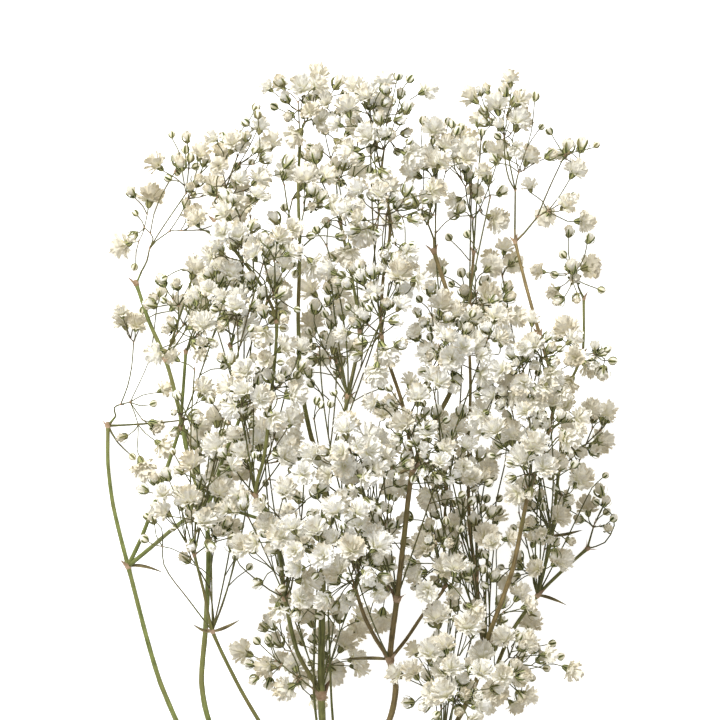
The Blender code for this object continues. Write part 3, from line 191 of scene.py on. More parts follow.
# Each spray: the knot that it grows from, the height of its heads, and its tufts of heads. A tuft has its
# middle, how many heads it has and their kind, and where it isn't the spray's, its height: 0 is the surface.
SPRAYS = {
    "spray_left_rest": ("left_rest", 8, [
        (-63.3, 262.7, 1, "full"), (-58, 277, 1, "half"), (-70, 313, 1, "full"), (-57.5, 319, 2, "half")]),
    "spray_left_tip": ("left_tip_knot", 12, [
        (-71, 338, 1, "full", 5), (-61, 355, 1, "full", 0), (-53, 364, 2, "half"), (-49.5, 369, 2, "bud"),
        (-46, 348, 1, "full"), (-41, 355, 2, "full"), (-42, 364, 2, "half")]),
    "spray_left_green": ("green_knot", 18, [
        (-57, 327, 1, "half"), (-44, 312, 1, "full"), (-46, 318, 1, "half"), (-40, 328, 2, "full")]),
    "spray_left_mid": ("left_mid_knot", 46, [
        (-38, 316, 2, "full"), (-37, 331, 1, "full"), (-43, 303, 1, "half")]),
    "spray_left_cross": ("left_cross_knot", 40, [
        (-42, 290, 1, "full"), (-51, 288, 1, "bud"), (-44, 281, 1, "half")]),
    "spray_cross_up": ("cross_node", 17, [
        (-38, 280, 1, "full"), (-41, 273, 1, "half"), (-38.5, 266, 2, "full")]),
    "spray_dark": ("dark_knot", 62, [
        (-22, 287, 1, "full"), (-28, 296, 1, "full"), (-11, 288, 1, "full"), (-12, 298, 2, "half")]),
    "spray_dark_top": ("dark_top", 58, [
        (-30, 320, 1, "full"), (-26, 327, 1, "half"), (-27, 310, 1, "full"), (-22, 322, 1, "half")]),
    "spray_left_low": ("low_knot", 58, [
        (-47, 259, 2, "full"), (-41, 247, 1, "full"), (-43, 253, 1, "half")]),
    "spray_leaf_node": ("leaf_node", 40, [
        (-62, 240, 1, "bud"), (-51, 251, 2, "bud"), (-34.5, 249, 2, "full"), (-34, 262, 1, "full")]),
    "spray_red": ("red_knot", 50, [
        (-32, 272, 2, "full"), (-24, 273, 1, "full"), (-15.5, 275, 2, "full")]),
    "spray_olive": ("olive_knot", 50, [
        (-29, 238, 1, "full"), (-13, 229, 2, "bud"), (-7, 226, 1, "full")]),
    "spray_olive_right": ("olive_knot", 66, [
        (-12, 237, 2, "full"), (-11.5, 247, 1, "half"), (-11.5, 255, 1, "bud"), (-19, 252, 2, "full")]),
    "spray_base_left": ("fork_fourth", 12, [
        (-30, 201, 1, "full"), (-16, 195, 3, "full"), (-20, 210, 2, "half"), (-25, 205, 1, "bud")]),
    "spray_base_centre": ("fork_fourth", 10, [
        (6, 199, 2, "full"), (9, 207, 1, "full"), (3, 214, 1, "half"), (-8, 207, 2, "full")]),
    "spray_clump": ("clump_knot", 76, [
        (-2.5, 241, 2, "full"), (3, 246, 2, "full"), (10, 243, 2, "full")]),
    "spray_clump_right": ("clump_knot", 62, [
        (13, 235, 2, "half"), (6, 236, 2, "half"), (2, 231, 1, "full"), (15, 242, 1, "full"),
        (0, 227, 1, "half")]),
    "spray_arm": ("arm_knot", 71, [
        (-1, 268, 2, "full"), (7, 262, 1, "full"), (10, 275, 2, "full"), (16, 250, 1, "bud")]),
    "spray_brown_side": ("brown_side", 26, [
        (20, 256, 1, "full"), (18.5, 248, 2, "full"), (19, 233, 1, "half"), (17, 230, 1, "bud"),
        (17, 212, 1, "full")]),
    "spray_red_bract": ("red_bract_knot", 68, [
        (24, 279, 1, "full"), (31, 271, 1, "half"), (29, 288, 1, "full"), (36, 260, 1, "half")]),
    "spray_right_low": ("right_low_knot", 41, [
        (33, 229, 2, "full"), (31, 238, 1, "full"), (33, 245, 1, "half"), (42, 231, 1, "full")]),
    "spray_right_low_top": ("right_low_top", 36, [
        (33, 253, 1, "full"), (38, 264, 1, "half"), (36, 276, 2, "full")]),
    "spray_base_right": ("crop_knot", 44, [
        (39, 209, 2, "full"), (38, 202, 2, "full"), (32, 195, 2, "full")]),
    "spray_base_front": ("crop_knot", 56, [
        (41, 192, 2, "half"), (38, 190, 1, "full"), (47, 199, 2, "full"), (47, 192, 1, "half")]),
    "spray_base_outer": ("outer_low", 30, [
        (54, 199, 2, "full"), (60, 204, 2, "full"), (58, 193, 2, "full"), (62, 198, 1, "half"),
        (63, 207, 1, "bud")]),
    "spray_base_far": ("outer_low", 7, [
        (72.3, 199, 1, "half"), (68.3, 192, 1, "bud"), (78.3, 199, 1, "bud"), (67, 213, 1, "full", 0)]),
    "spray_pink_low": ("pink_low_knot", 34, [
        (52, 241, 1, "full"), (46, 263, 1, "full"), (50, 269, 1, "half"), (48, 247, 1, "half")]),
    "spray_right_node": ("right_node", 16, [
        (58, 219, 1, "half"), (64, 221, 1, "full"), (56, 240, 1, "half")]),
    "spray_right_mid": ("right_mid_knot", 62, [
        (65, 263, 2, "full"), (67, 272, 1, "full"), (60, 274, 1, "full"), (54, 277, 1, "full")]),
    "spray_up_knot": ("up_knot", 30, [
        (77, 247, 1, "full"), (70, 244, 2, "half"), (75, 265, 1, "full"), (84, 260, 1, "full")]),
    "spray_outer_node": ("outer_node", 9, [
        (78, 232, 1, "full"), (65, 234, 2, "half")]),
    "spray_right_rest": ("right_rest", 7, [
        (87, 250, 1, "full", 0), (91, 256, 1, "half"), (96, 246, 1, "bud")]),
    "spray_up_low": ("up_low", 16, [
        (81, 276, 1, "full"), (92, 272, 1, "full", 0), (88, 283, 1, "full"), (85, 268, 1, "half")]),
    "spray_up_high": ("up_high", 25, [
        (87, 297, 1, "full"), (91, 294, 1, "half"), (95, 299, 1, "bud"), (79, 310, 1, "full"),
        (80, 299, 1, "half")]),
    "spray_up_top": ("up_top", 19, [
        (88, 331, 1, "full", 0), (80, 329, 2, "half"), (75, 328, 1, "bud"), (78, 335, 1, "bud")]),
    "spray_right_upper": ("right_upper_knot", 64, [
        (66, 295, 2, "full"), (73, 304, 1, "half"), (58, 294, 1, "full"), (67, 285, 1, "full"),
        (62, 301, 1, "half")]),
    "spray_right_top": ("right_top_knot", 30, [
        (85, 345.5, 1, "full"), (82, 363, 1, "full"), (82, 370, 2, "half")]),
    "spray_right_crown": ("right_top_knot", 50, [
        (66, 367, 1, "full"), (57, 379, 2, "full"), (63, 379, 1, "full"), (58, 387, 2, "half"),
        (51, 382.5, 1, "bud"), (65, 386, 2, "bud")]),
    "spray_inner_top": ("inner_top", 30, [
        (56, 346, 1, "full"), (44, 369, 1, "full", 0), (51, 369, 2, "full"), (46, 362, 1, "half"),
        (44, 375, 2, "bud")]),
    "spray_inner": ("inner_knot", 20, [
        (57, 326, 2, "full"), (52, 327, 1, "half"), (61, 321, 1, "half"), (45, 323, 1, "half"),
        (44, 329, 1, "bud"), (58, 314, 1, "full")]),
    "spray_brown_top": ("brown_top", 50, [
        (34.5, 376, 1, "full"), (35, 365, 1, "full"), (31, 379, 1, "bud"), (40, 380, 2, "bud"),
        (33, 353, 1, "full"), (27, 353, 1, "half")]),
    "spray_brown_knot": ("brown_knot", 68, [
        (34, 306, 2, "full"), (40, 300, 1, "full"), (37, 318, 1, "full"), (33, 324, 1, "half"),
        (42, 311, 1, "bud"), (48, 305, 1, "full"), (57, 307, 1, "full")]),
    "spray_far_top": ("far_top", 73, [
        (14, 386, 2, "full"), (26, 383, 1, "half"), (9, 378, 2, "full"), (20, 373, 1, "half"),
        (24.5, 392.5, 2, "bud"), (27, 366, 1, "full"), (8, 365, 1, "half")]),
    "spray_far_mid": ("far_mid", 77, [
        (9, 355, 1, "full"), (26, 356, 1, "half"), (11, 340, 1, "full"), (29, 345, 1, "half")]),
    "spray_pink": ("pink_knot", 80, [
        (23, 328, 1, "full"), (14, 325, 2, "half"), (10, 331, 1, "half"), (28, 325, 1, "bud"),
        (12, 300, 2, "full")]),
    "spray_top": ("top_knot", 50, [
        (-9, 390, 1, "full"), (-4, 394, 1, "full"), (3.5, 392, 1, "half"), (-1, 385, 2, "full"),
        (-15, 387, 1, "half"), (-8, 381, 1, "half")]),
    "spray_upper": ("upper_knot", 52, [
        (-8, 360, 1, "full"), (-2, 354, 1, "half"), (-5, 368, 1, "half"), (-17, 335, 1, "full"),
        (-4, 330, 1, "full"), (-19, 347, 1, "half")]),
    "spray_upper_right": ("upper_right_knot", 28, [
        (3, 369, 2, "half"), (-2, 378, 1, "half"), (6, 334, 1, "full")]),
    "spray_top_left": ("top_left_knot", 50, [
        (-29, 362, 2, "full"), (-24, 355, 1, "half"), (-30, 350, 1, "full"), (-31, 371, 1, "full"),
        (-26, 381, 3, "bud"), (-17, 366, 2, "half")]),
    "spray_centre_left": ("centre_left_knot", 66, [
        (-30, 341, 1, "full"), (-38, 336, 1, "full"), (-15, 322, 1, "half"), (-23, 337, 1, "half")]),
    "spray_centre": ("centre_knot", 22, [
        (-3, 306, 2, "full"), (4, 316, 1, "full"), (-5, 318, 1, "half"), (3, 300, 1, "half")]),
}

# How often a random draw is made again before the best one found is taken.
HEAD_TRIES = 500
FORK_TRIES = 160
BEND_TRIES = 110
STUB_TRIES = 4000
SPRAY_TRIES = 6

STUB_SWAY = 3.0            # how far a stub's way strays from the one that it is wanted to have
STUB_LIFT = 1.3            # least height of a stub's tip
GROUP_SIZE = 0.55          # how far a tuft spreads, over the size of a head and the root of their number
HEAD_LIFT = 0.56           # least height of a head's middle, over its diameter
HEAD_APART = 0.1           # least gap between heads of one spray
HEAD_LEAN = np.array([0, 0.12, 0.1])   # heads lean a little to the far end of the plant and up
LEAST_AHEAD = 0.15         # cosine of the widest angle at which a twig leaves its fork
AHEAD_WORTH = 3.0          # millimetres of room that a whole step of that cosine is worth
OWN_CLEAR = 0.12           # least gap between twigs of one spray
SPRAY_REACH = 12.0         # how far round its heads a spray looks for what is in its way
PEDICEL_LIFT = 0.5         # least height of a pedicel's middle, and of a stalk's
STALK_LIFT = 0.9
LONG_PEDICEL = 14.0        # a pedicel longer than this has a bend in it
LONG_STALK = 16.0          # a stalk longer than this has two
LEAST_PEDICEL = 1.6        # least lengths of a pedicel, of a stalk and of a stalk's pieces
LEAST_STALK = 3.4
LEAST_PIECE = 1.5
FORK_BACK = 4.5            # how far before its heads a stalk forks, past 1.1 times their spread
LEAST_BACK = 6.5
LEVEL_BACK = 4.0           # how much farther back where there are more forks to come
MOST_BACK = 0.75           # and the most, over the whole way
HEAD_REACH = 2.2           # least length of stalk between a fork and a head
NECK_SIZE = 0.15           # radius kept clear between a head's foot and its middle, over its diameter
THINNER = 0.86             # a stalk's radius over that of the stalk that it grows from
THINNEST = 0.5
FIRST_PART = 1000          # part numbers of twigs; a twig's lines past its first have FAR_PART added
FAR_PART = 5000
HEAD_NECK = {"full": 0.5, "half": 0.72, "bud": 0.62}   # a head's middle above its foot, over its diameter


def unit(vector):
    """The vector at a length of one."""
    return vector / max(float(np.linalg.norm(vector)), 1e-9)


def angle_between(a, b):
    return math.acos(max(-1.0, min(1.0, float(a @ b))))


def drawn(rng):
    """A random point inside a ball of radius one."""
    while True:
        point = np.array([rng.uniform(-1, 1) for _ in range(3)])
        if point @ point <= 1:
            return point


def along_line(line):
    """How far along a line each of its points lies."""
    return np.append(0, np.cumsum(np.linalg.norm(np.diff(line, axis=0), axis=1)))


def line_gaps(a, b, p, q):
    """Shortest distances from each of the lines a to b to each of the lines p to q."""
    u = (b - a)[:, None]
    v = (q - p)[None]
    w = a[:, None] - p[None]
    uu = (u * u).sum(axis=2) + 1e-9
    vv = (v * v).sum(axis=2) + 1e-9
    uv = (u * v).sum(axis=2)
    uw = (u * w).sum(axis=2)
    vw = (v * w).sum(axis=2)
    s = np.clip((uv * vw - vv * uw) / np.maximum(uu * vv - uv * uv, 1e-9), 0, 1)
    t = np.clip((uv * s + vw) / vv, 0, 1)
    s = np.clip((uv * t - uw) / uu, 0, 1)
    apart = w + s[..., None] * u - t[..., None] * v
    return np.sqrt((apart * apart).sum(axis=2))


class Room:
    """The space that is taken: round lines, each with a radius, the node that owns it and a part number."""

    def __init__(self):
        self.ends = np.zeros((0, 6))
        self.radius = np.zeros(0)
        self.owner = np.zeros(0, int)
        self.part = np.zeros(0, int)
        self.names = {}

    def take(self, path, radius, name, part=-1):
        owner = self.names.setdefault(name, len(self.names))
        path = np.asarray(path, float)
        ends = np.hstack([path[:-1], path[1:]]) if len(path) > 1 else np.hstack([path, path])
        self.ends = np.vstack([self.ends, ends])
        self.radius = np.append(self.radius, np.full(len(ends), radius))
        self.owner = np.append(self.owner, np.full(len(ends), owner))
        self.part = np.append(self.part, np.full(len(ends), part))

    def near(self, places, reach):
        """A smaller room with only what lies near some places."""
        low, high = np.min(places, axis=0) - reach, np.max(places, axis=0) + reach
        first, last = self.ends[:, :3], self.ends[:, 3:]
        inside = ((np.minimum(first, last) < high) & (np.maximum(first, last) > low)).all(axis=1)
        small = Room()
        small.set_back((self.ends[inside], self.radius[inside], self.owner[inside], self.part[inside]))
        small.names = self.names
        return small

    def add(self, small, count):
        """Adds what a smaller room has taken since it had only so many lines."""
        self.ends = np.vstack([self.ends, small.ends[count:]])
        self.radius = np.append(self.radius, small.radius[count:])
        self.owner = np.append(self.owner, small.owner[count:])
        self.part = np.append(self.part, small.part[count:])

    def taken(self):
        return self.ends, self.radius, self.owner, self.part

    def set_back(self, taken):
        self.ends, self.radius, self.owner, self.part = taken

    def around(self, path, radius, name, skip=()):
        """The least gaps round a path: to other nodes, and to the parts of its own that aren't skipped."""
        owner = self.names.setdefault(name, len(self.names))
        path = np.asarray(path, float)
        starts, stops = (path[:-1], path[1:]) if len(path) > 1 else (path, path)
        gaps = line_gaps(starts, stops, self.ends[:, :3], self.ends[:, 3:]).min(axis=0)
        gaps = gaps - self.radius - radius
        mine = self.owner == owner
        own = mine & ~np.isin(self.part, list(skip))
        return float(gaps[~mine].min(initial=99.0)), float(gaps[own].min(initial=99.0))


def lay_stems(room):
    """Works out every stem's routes with their radii, and the knots that twigs grow from."""
    stems, knots = {}, {}
    for name, routes in STEMS.items():
        stems[name] = []
        for start, thick, thin, places in routes:
            points = [np.array(place[:3], float) for place in places]
            labels = [place[3] if len(place) > 3 else None for place in places]
            if start is not None:
                knot = knots[start]
                way = unit(points[0] - knot["at"])
                knot["ways"].append(way)
                first = knot["at"]
                if knot["stem"] != name:
                    knot["stubs"].append((way, 0.5 * thick))
                    room.take([knot["at"], knot["at"] + way * STUB], 0.5 * thick, knot["stem"])
                    first = knot["at"] + way * (STUB + SEAM)
                points.insert(0, first)
                labels.insert(0, None)
            line = np.array(points)
            along = along_line(line)
            radii = 0.5 * (thick + (thin - thick) * along / along[-1])
            for index, label in enumerate(labels):
                if label is None:
                    continue
                ways = [unit(line[index - 1] - line[index])]
                if index + 1 < len(line):
                    ways.append(unit(line[index + 1] - line[index]))
                knots[label] = {
                    "at": line[index], "radius": float(radii[index]), "stem": name, "ways": ways,
                    "stubs": [], "sprays": {}}
            for a, b, radius in zip(line[:-1], line[1:], radii[:-1]):
                room.take([a, b], float(radius), name)
            stems[name].append({"line": line, "radii": radii, "labels": labels})
    return stems, knots


def lay_stubs(knots, room, rng):
    """Turns each spray's stub towards its tufts, as far from the other twigs of its knot as they need."""
    for name, (start, height, tufts) in SPRAYS.items():
        knot = knots[start]
        places = [(x, y, own_height[0] if own_height else height) for x, y, _, _, *own_height in tufts]
        wanted = unit(np.mean(places, axis=0) - knot["at"])
        for step in range(STUB_TRIES):
            way = unit(wanted + STUB_SWAY * step / STUB_TRIES * drawn(rng))
            apart = min(angle_between(way, other) for other in knot["ways"])
            tip = knot["at"] + way * STUB
            if apart > STUB_ANGLE and tip[2] > STUB_LIFT:
                break
        knot["ways"].append(way)
        knot["stubs"].append((way, STUB_SIZE))
        knot["sprays"][name] = way
        room.take([knot["at"], tip], STUB_SIZE, knot["stem"])


def lay_heads(room, rng):
    """Places the heads of every tuft, clear of the stems and of each other."""
    heads = []
    for name, (_, height, tufts) in SPRAYS.items():
        for x, y, count, kind, *own_height in tufts:
            for _ in range(count):
                size = rng.uniform(*HEADS[kind])
                reach = 0.0 if count == 1 else GROUP_SIZE * size * math.sqrt(count)
                best, best_gap = None, -99.0
                for step in range(HEAD_TRIES):
                    turn = rng.uniform(0, 2 * math.pi)
                    out = reach * rng.uniform(0.6, 1.1) + 0.02 * step * rng.uniform(0, 1)
                    z = height + rng.uniform(-1, 1) * (DEPTH_SPREAD + 0.05 * step)
                    z = own_height[0] or REST_DEPTH * size if own_height else max(z, HEAD_LIFT * size)
                    place = np.array([x + out * math.cos(turn), y + out * math.sin(turn), z])
                    others, own = room.around([place], 0.5 * size, name)
                    free = min(others - HEAD_GAP, own - HEAD_APART)
                    if free > best_gap:
                        best, best_gap = place, free
                    if free >= 0:
                        break
                number = len(heads)
                heads.append({"number": number, "spray": name, "kind": kind, "size": size, "at": best})
                rng.random()   # the solids turn the head by this
                room.take([best], 0.5 * size, name, number)
    return heads


def bent(start, heading, end, bow, count):
    """A line from start to end that sets out along heading and bows by a random amount."""
    span = end - start
    middle = start + 0.5 * float(np.linalg.norm(span)) * unit(unit(heading) + 0.9 * unit(span)) + bow
    steps = np.linspace(0, 1, count + 2)[:, None]
    return (1 - steps) ** 2 * start + 2 * steps * (1 - steps) * middle + steps ** 2 * end


def split(tips, fork):
    """Parts the heads beyond a fork into two or three groups, side by side as the fork sees them."""
    if len(tips) <= 3:
        return [[tip] for tip in tips]
    ways = np.array([unit(tip["at"] - fork) for tip in tips])
    spread = ways - ways.mean(axis=0)
    axis = np.linalg.svd(spread)[2][0]
    order = np.argsort(spread @ axis)
    parts = 3 if len(tips) >= 7 else 2
    bounds = [round(len(tips) * k / parts) for k in range(parts + 1)]
    return [[tips[i] for i in order[a:b]] for a, b in zip(bounds[:-1], bounds[1:])]


class Spray:
    """Lays the stalks and pedicels of one spray, fork by fork, clear of everything laid before them."""

    def __init__(self, name, room, rng):
        self.name, self.room, self.rng = name, room, rng
        self.count, self.worst = 0, 99.0

    def room_for(self, line, radius, parent, skip):
        """How much more room a twig has than it needs, and how far it keeps ahead where it grows."""
        near = {twig["part"] for twig in parent["children"]}
        behind = {parent["part"], parent["part"] + FAR_PART} | skip
        others, own = self.room.around(line[:2], radius, self.name, behind | near)
        free = min(others - CLEAR, own - OWN_CLEAR)
        others, own = self.room.around(line[1:], radius, self.name, behind)
        free = min(free, others - CLEAR, own - OWN_CLEAR)
        ahead = float(unit(line[1] - line[0]) @ parent["way"])
        return min(free, AHEAD_WORTH * (ahead - LEAST_AHEAD))

    def keep(self, twig, parent, radius):
        line = twig["line"]
        self.count += 1
        self.worst = min(self.worst, twig["free"])
        twig["part"] = FIRST_PART + self.count
        twig["way"] = unit(line[-1] - line[-2])
        self.room.take(line[:2], radius, self.name, twig["part"])
        if len(line) > 2:
            self.room.take(line[1:], radius, self.name, twig["part"] + FAR_PART)
        parent["children"].append(twig)

    def lay_pedicel(self, parent, start, tip):
        """The last stalk, from a fork to one head: it bows clear of what is near and turns the head."""
        size, rng = tip["size"], self.rng
        skip = {tip["number"]}
        best, best_free = None, -99.0
        for step in range(BEND_TRIES):
            sway = drawn(rng) * (0.15 + 0.012 * step)
            axis = unit(unit(tip["at"] - start) + sway + HEAD_LEAN)
            foot = tip["at"] - axis * size * HEAD_NECK[tip["kind"]]
            length = float(np.linalg.norm(foot - start))
            bow = drawn(rng) * length * 0.012 * step
            line = bent(start, parent["way"], foot, bow, int(length > LONG_PEDICEL or step > 6))
            free = min(line[:, 2].min() - PEDICEL_LIFT, length - LEAST_PEDICEL)
            free = min(free, self.room_for(line, PEDICEL_SIZE, parent, skip))
            neck, own_neck = self.room.around([foot, tip["at"]], NECK_SIZE * size, self.name, skip)
            free = min(free, neck - CLEAR, own_neck, float(unit(foot - line[-2]) @ axis) - 0.1)
            if free > best_free:
                best, best_free = {"line": line, "axis": axis, "head": tip, "free": free}, free
            if free >= 0:
                break
        self.keep(best, parent, PEDICEL_SIZE)
        self.room.take([best["line"][-1], tip["at"]], NECK_SIZE * size, self.name, tip["number"])

    def lay_stalk(self, parent, start, tips, size):
        """One stalk up to a fork, then all that grows from the fork, down to the heads."""
        rng = self.rng
        places = np.array([tip["at"] for tip in tips])
        sizes = np.array([tip["size"] for tip in tips])
        middle = places.mean(axis=0)
        span = middle - start
        length = float(np.linalg.norm(span))
        spread = float(np.linalg.norm(places - middle, axis=1).max())
        levels = 0 if len(tips) <= 3 else 1
        back = min(max(1.1 * spread + FORK_BACK, LEAST_BACK) + LEVEL_BACK * levels, MOST_BACK * length)
        best, best_free = None, -99.0
        for step in range(FORK_TRIES):
            reach = max((length - back) * (1 + rng.uniform(-0.004, 0.004) * step), LEAST_STALK)
            fork = start + unit(span + drawn(rng) * length * (0.05 + 0.008 * step)) * reach
            bow = drawn(rng) * 0.01 * step * length
            line = bent(start, parent["way"], fork, bow, 1 if reach < LONG_STALK else 2)
            tested = line.copy()
            if parent["part"] < 0:
                tested[0] += 1.6 * unit(line[1] - line[0])
            way = unit(line[-1] - line[-2])
            shortest = float(np.linalg.norm(np.diff(line, axis=0), axis=1).min())
            free = min(line[:, 2].min() - STALK_LIFT, shortest - LEAST_PIECE)
            free = min(free, self.room_for(tested, size, parent, set()))
            behind = {parent["part"], parent["part"] + FAR_PART}
            others, own = self.room.around([fork], FORK_SIZE, self.name, behind)
            gaps = np.linalg.norm(places - fork, axis=1)
            ahead = float(((places - fork) @ way / gaps).min())
            free = min(free, others - CLEAR, own - OWN_CLEAR, AHEAD_WORTH * (ahead - LEAST_AHEAD))
            free = min(free, float((gaps - 0.5 * sizes).min()) - HEAD_REACH - 0.5 * LEVEL_BACK * levels)
            if free > best_free:
                best, best_free = {"line": line, "size": size, "children": [], "free": free}, free
            if free >= 0:
                break
        self.keep(best, parent, size)
        fork = best["line"][-1]
        for group in split(tips, fork):
            self.grow(best, fork, group, max(size * THINNER, THINNEST))
        return best

    def grow(self, parent, start, tips, size):
        """What grows from one point: a single pedicel, or a stalk that forks."""
        if len(tips) == 1:
            self.lay_pedicel(parent, start, tips[0])
        else:
            self.lay_stalk(parent, start, tips, size)


def lay_spray(name, knot, tips, room, rng):
    """Lays one spray from its stub, more than once where its twigs come too near to others."""
    way = knot["sprays"][name]
    foot = knot["at"] + way * (STUB + SEAM)
    near = room.near([foot] + [tip["at"] for tip in tips], SPRAY_REACH)
    before = near.taken()
    best, best_worst, after = None, -99.0, before
    for _ in range(SPRAY_TRIES):
        near.set_back(before)
        spray = Spray(name, near, rng)
        root = spray.lay_stalk({"part": -1, "children": [], "way": way}, foot, tips, STUB_SIZE)
        if spray.worst > best_worst:
            best, best_worst, after = root, spray.worst, near.taken()
        if best_worst >= 0:
            break
    near.set_back(after)
    room.add(near, len(before[0]))
    best["from"] = way
    return best


def plan():
    """The whole plant as lines, radii and heads, in millimetres."""
    rng = random.Random(SEED)
    room = Room()
    stems, knots = lay_stems(room)
    lay_stubs(knots, room, rng)
    heads = lay_heads(room, rng)
    sprays = {}
    for name, (start, _, _) in SPRAYS.items():
        tips = [head for head in heads if head["spray"] == name]
        sprays[name] = lay_spray(name, knots[start], tips, room, rng)
    return stems, knots, sprays, room


# What the solids leave out: small heads beside the main ones, and fine twigs with small tufts.
SIDE_HEADS = {"full": (5.6, 8.0), "half": (3.8, 5.2), "bud": (2.4, 3.2)}
KINDS = ("full", "half", "bud")
SIDE_ODDS = (0.34, 0.4, 0.26)
TUFT_ODDS = (0.44, 0.33, 0.23)
SIDE_SHARE = 0.55          # up to where on a pedicel small heads grow
SIDE_WAY = np.array([0, 0.2, -0.1])    # and where they turn a little
SIDE_OUT = (3.5, 9.5)      # least and most distances of small heads from where they grow: side heads,
FINE_OUT = (5.0, 13.0)     # those on the way of a fine twig
TUFT_OUT = (2.5, 7.0)      # and those at its fork
SIZE_OUT = 0.6             # how much farther side heads and tufts lie, over their size
SIDE_TRIES = 24
SIDE_OVERLAP = 1.2         # how far a small head may press into what is near it
TUFT_TRIES = 14
TUFT_REACH = np.array([12.0, 12.0, 14.0])      # how far a fine tuft lies from the middle of its spray
TUFT_DROP = 4.0            # and how much lower
CROWN_EDGE = 7.0           # how far from the box's sides a fine twig ends
CROWD_REACH = 42.0         # sprays nearer than this to each other make a crowd, which has more tufts
TWIG_TRIES = 30
LONG_FINE = 40.0           # a fine twig longer than this has two side heads and more bends
FINE_SIDES = (0.38, 0.68)  # where on it they are, and where on a shorter one its only one is
SHORT_SIDES = (0.55,)
FINE_ROOM = 0.3            # radius that a fine twig takes up
FINE_LIFT = 0.4            # and its least height
STUB_REACH = 4.0           # how much of it near its knot needs no room
FINE_STRAY = 3.0           # how far its fork strays from where it is wanted
FINE_BOW = 0.03            # how far it bows, over its length
LONG_TWIG = (32.0, 90.0)   # least and most rise along the plant of a twig from a lower knot
CLOSE = 13.0               # a tuft has LEAST_CLOSE heads or more this near, so that it is inside the crown
LEAST_CLOSE = 4
# How many fine tufts grow among a spray's heads: first the sprays with none, then those with one, and so on.
# The others have one more than a third of the number of sprays that crowd them.
TUFTS = {name: count for count, names in enumerate((
    "left_rest left_cross left_tip base_left base_centre clump_right brown_side base_right base_front "
    "base_outer base_far outer_node right_rest up_high up_top right_top right_crown",
    "leaf_node left_low olive right_low right_node up_knot top_left top",
    "left_green olive_right clump",
    "left_mid upper upper_right",
    "pink far_mid right_low_top right_mid dark_top arm centre_left",
    "right_upper centre",
    "red_bract brown_knot")) for name in names.split()}

# Single fine twigs that the photograph shows, each with the points that it passes after its knot.
LOOSE = {
    "fork_third": [
        [(-3.4, 170, 23), (-5.4, 187, 28), (-5.2, 205, 32), (-4.4, 222, 36), (-3.6, 240, 40)],
        [(1.2, 170, 22), (0.4, 187, 29), (-0.2, 205, 33), (-0.7, 222, 37), (-0.3, 238, 41)]],
    "left_rest": [
        [(-66, 277.5, 3), (-57, 278.2, 6), (-44, 279.6, 11), (-33.7, 279.8, 16), (-27, 279.5, 20)],
        [(-72, 271.5, 2.5), (-68, 267.5, 3.5)]],
    "left_cross_knot": [[(-46, 273.5, 31), (-43, 270, 31)]],
    "cross_node": [[(-43.4, 262, 33), (-44.4, 277, 36)]],
    "leaf_node": [[(-47, 219, 29), (-55.5, 230.8, 26), (-56.4, 243, 25), (-60, 246, 24)]],
    "low_knot": [[(-48.4, 246.9, 44), (-53.1, 259, 46)], [(-40, 238, 43), (-33.7, 240.2, 44)]],
    "olive_knot": [
        [(-20.2, 222.7, 39), (-25, 226.4, 41), (-30, 231, 42), (-31.6, 235, 43)],
        [(-17, 230, 38), (-17.5, 236, 39)]],
    "red_knot": [[(-29, 260, 54), (-33.7, 266.4, 56)]],
    "green_knot": [[(-51, 313, 16), (-46.5, 327.5, 20), (-50, 329.6, 21), (-54.6, 327.4, 21)]],
    "arm_knot": [
        [(4, 263, 58), (3.6, 272.4, 59)], [(-6, 262, 58), (-16.9, 267.7, 60)],
        [(8, 262, 58), (10.7, 267.4, 60)],
        [(5.5, 251.8, 57), (9, 250.3, 57.5), (14.5, 250.8, 58)]],
    "fork_fourth": [
        [(0, 198, 29), (4.6, 212, 33), (8, 219, 36), (16, 224.5, 38), (21.4, 225.1, 39)],
        [(-1, 200, 30), (1, 211, 34), (-3, 215.5, 36), (-8.5, 217, 37)]],
    "right_low_knot": [[(34, 224, 26), (28, 230, 28), (17.7, 243.6, 31)], [(41.5, 232, 26), (43, 242, 28)]],
    "right_rest": [[(92.9, 237.5, 3), (96, 243.3, 5), (95, 247.2, 6), (90.8, 250.6, 7)]],
    "outer_node": [[(79, 238, 12), (88, 256.3, 16), (91.6, 259.7, 17)]],
}
LOOSE_SIZE = {"fork_third": 0.6, "left_rest": 0.42, "green_knot": 0.5}   # radii of the thicker ones
# Knots from which more bare stalks rise straight up into the crown, and how many.
FANS = {
    "crop_knot": 4, "outer_low": 3, "right_node": 3, "right_low_knot": 3, "pink_low_knot": 3, "outer_node": 2,
    "brown_side": 2, "clump_knot": 2, "olive_knot": 2, "leaf_node": 2, "right_low_top": 1, "low_knot": 2,
    "up_knot": 2, "centre_knot": 2, "red_knot": 2, "dark_knot": 2, "brown_knot": 1}
FAN_RISE = (26.0, 62.0)    # how far they rise, and how far they lean to a side and up, over that
FAN_LEAN = 0.3
FAN_LIFT = (-0.12, 0.2)

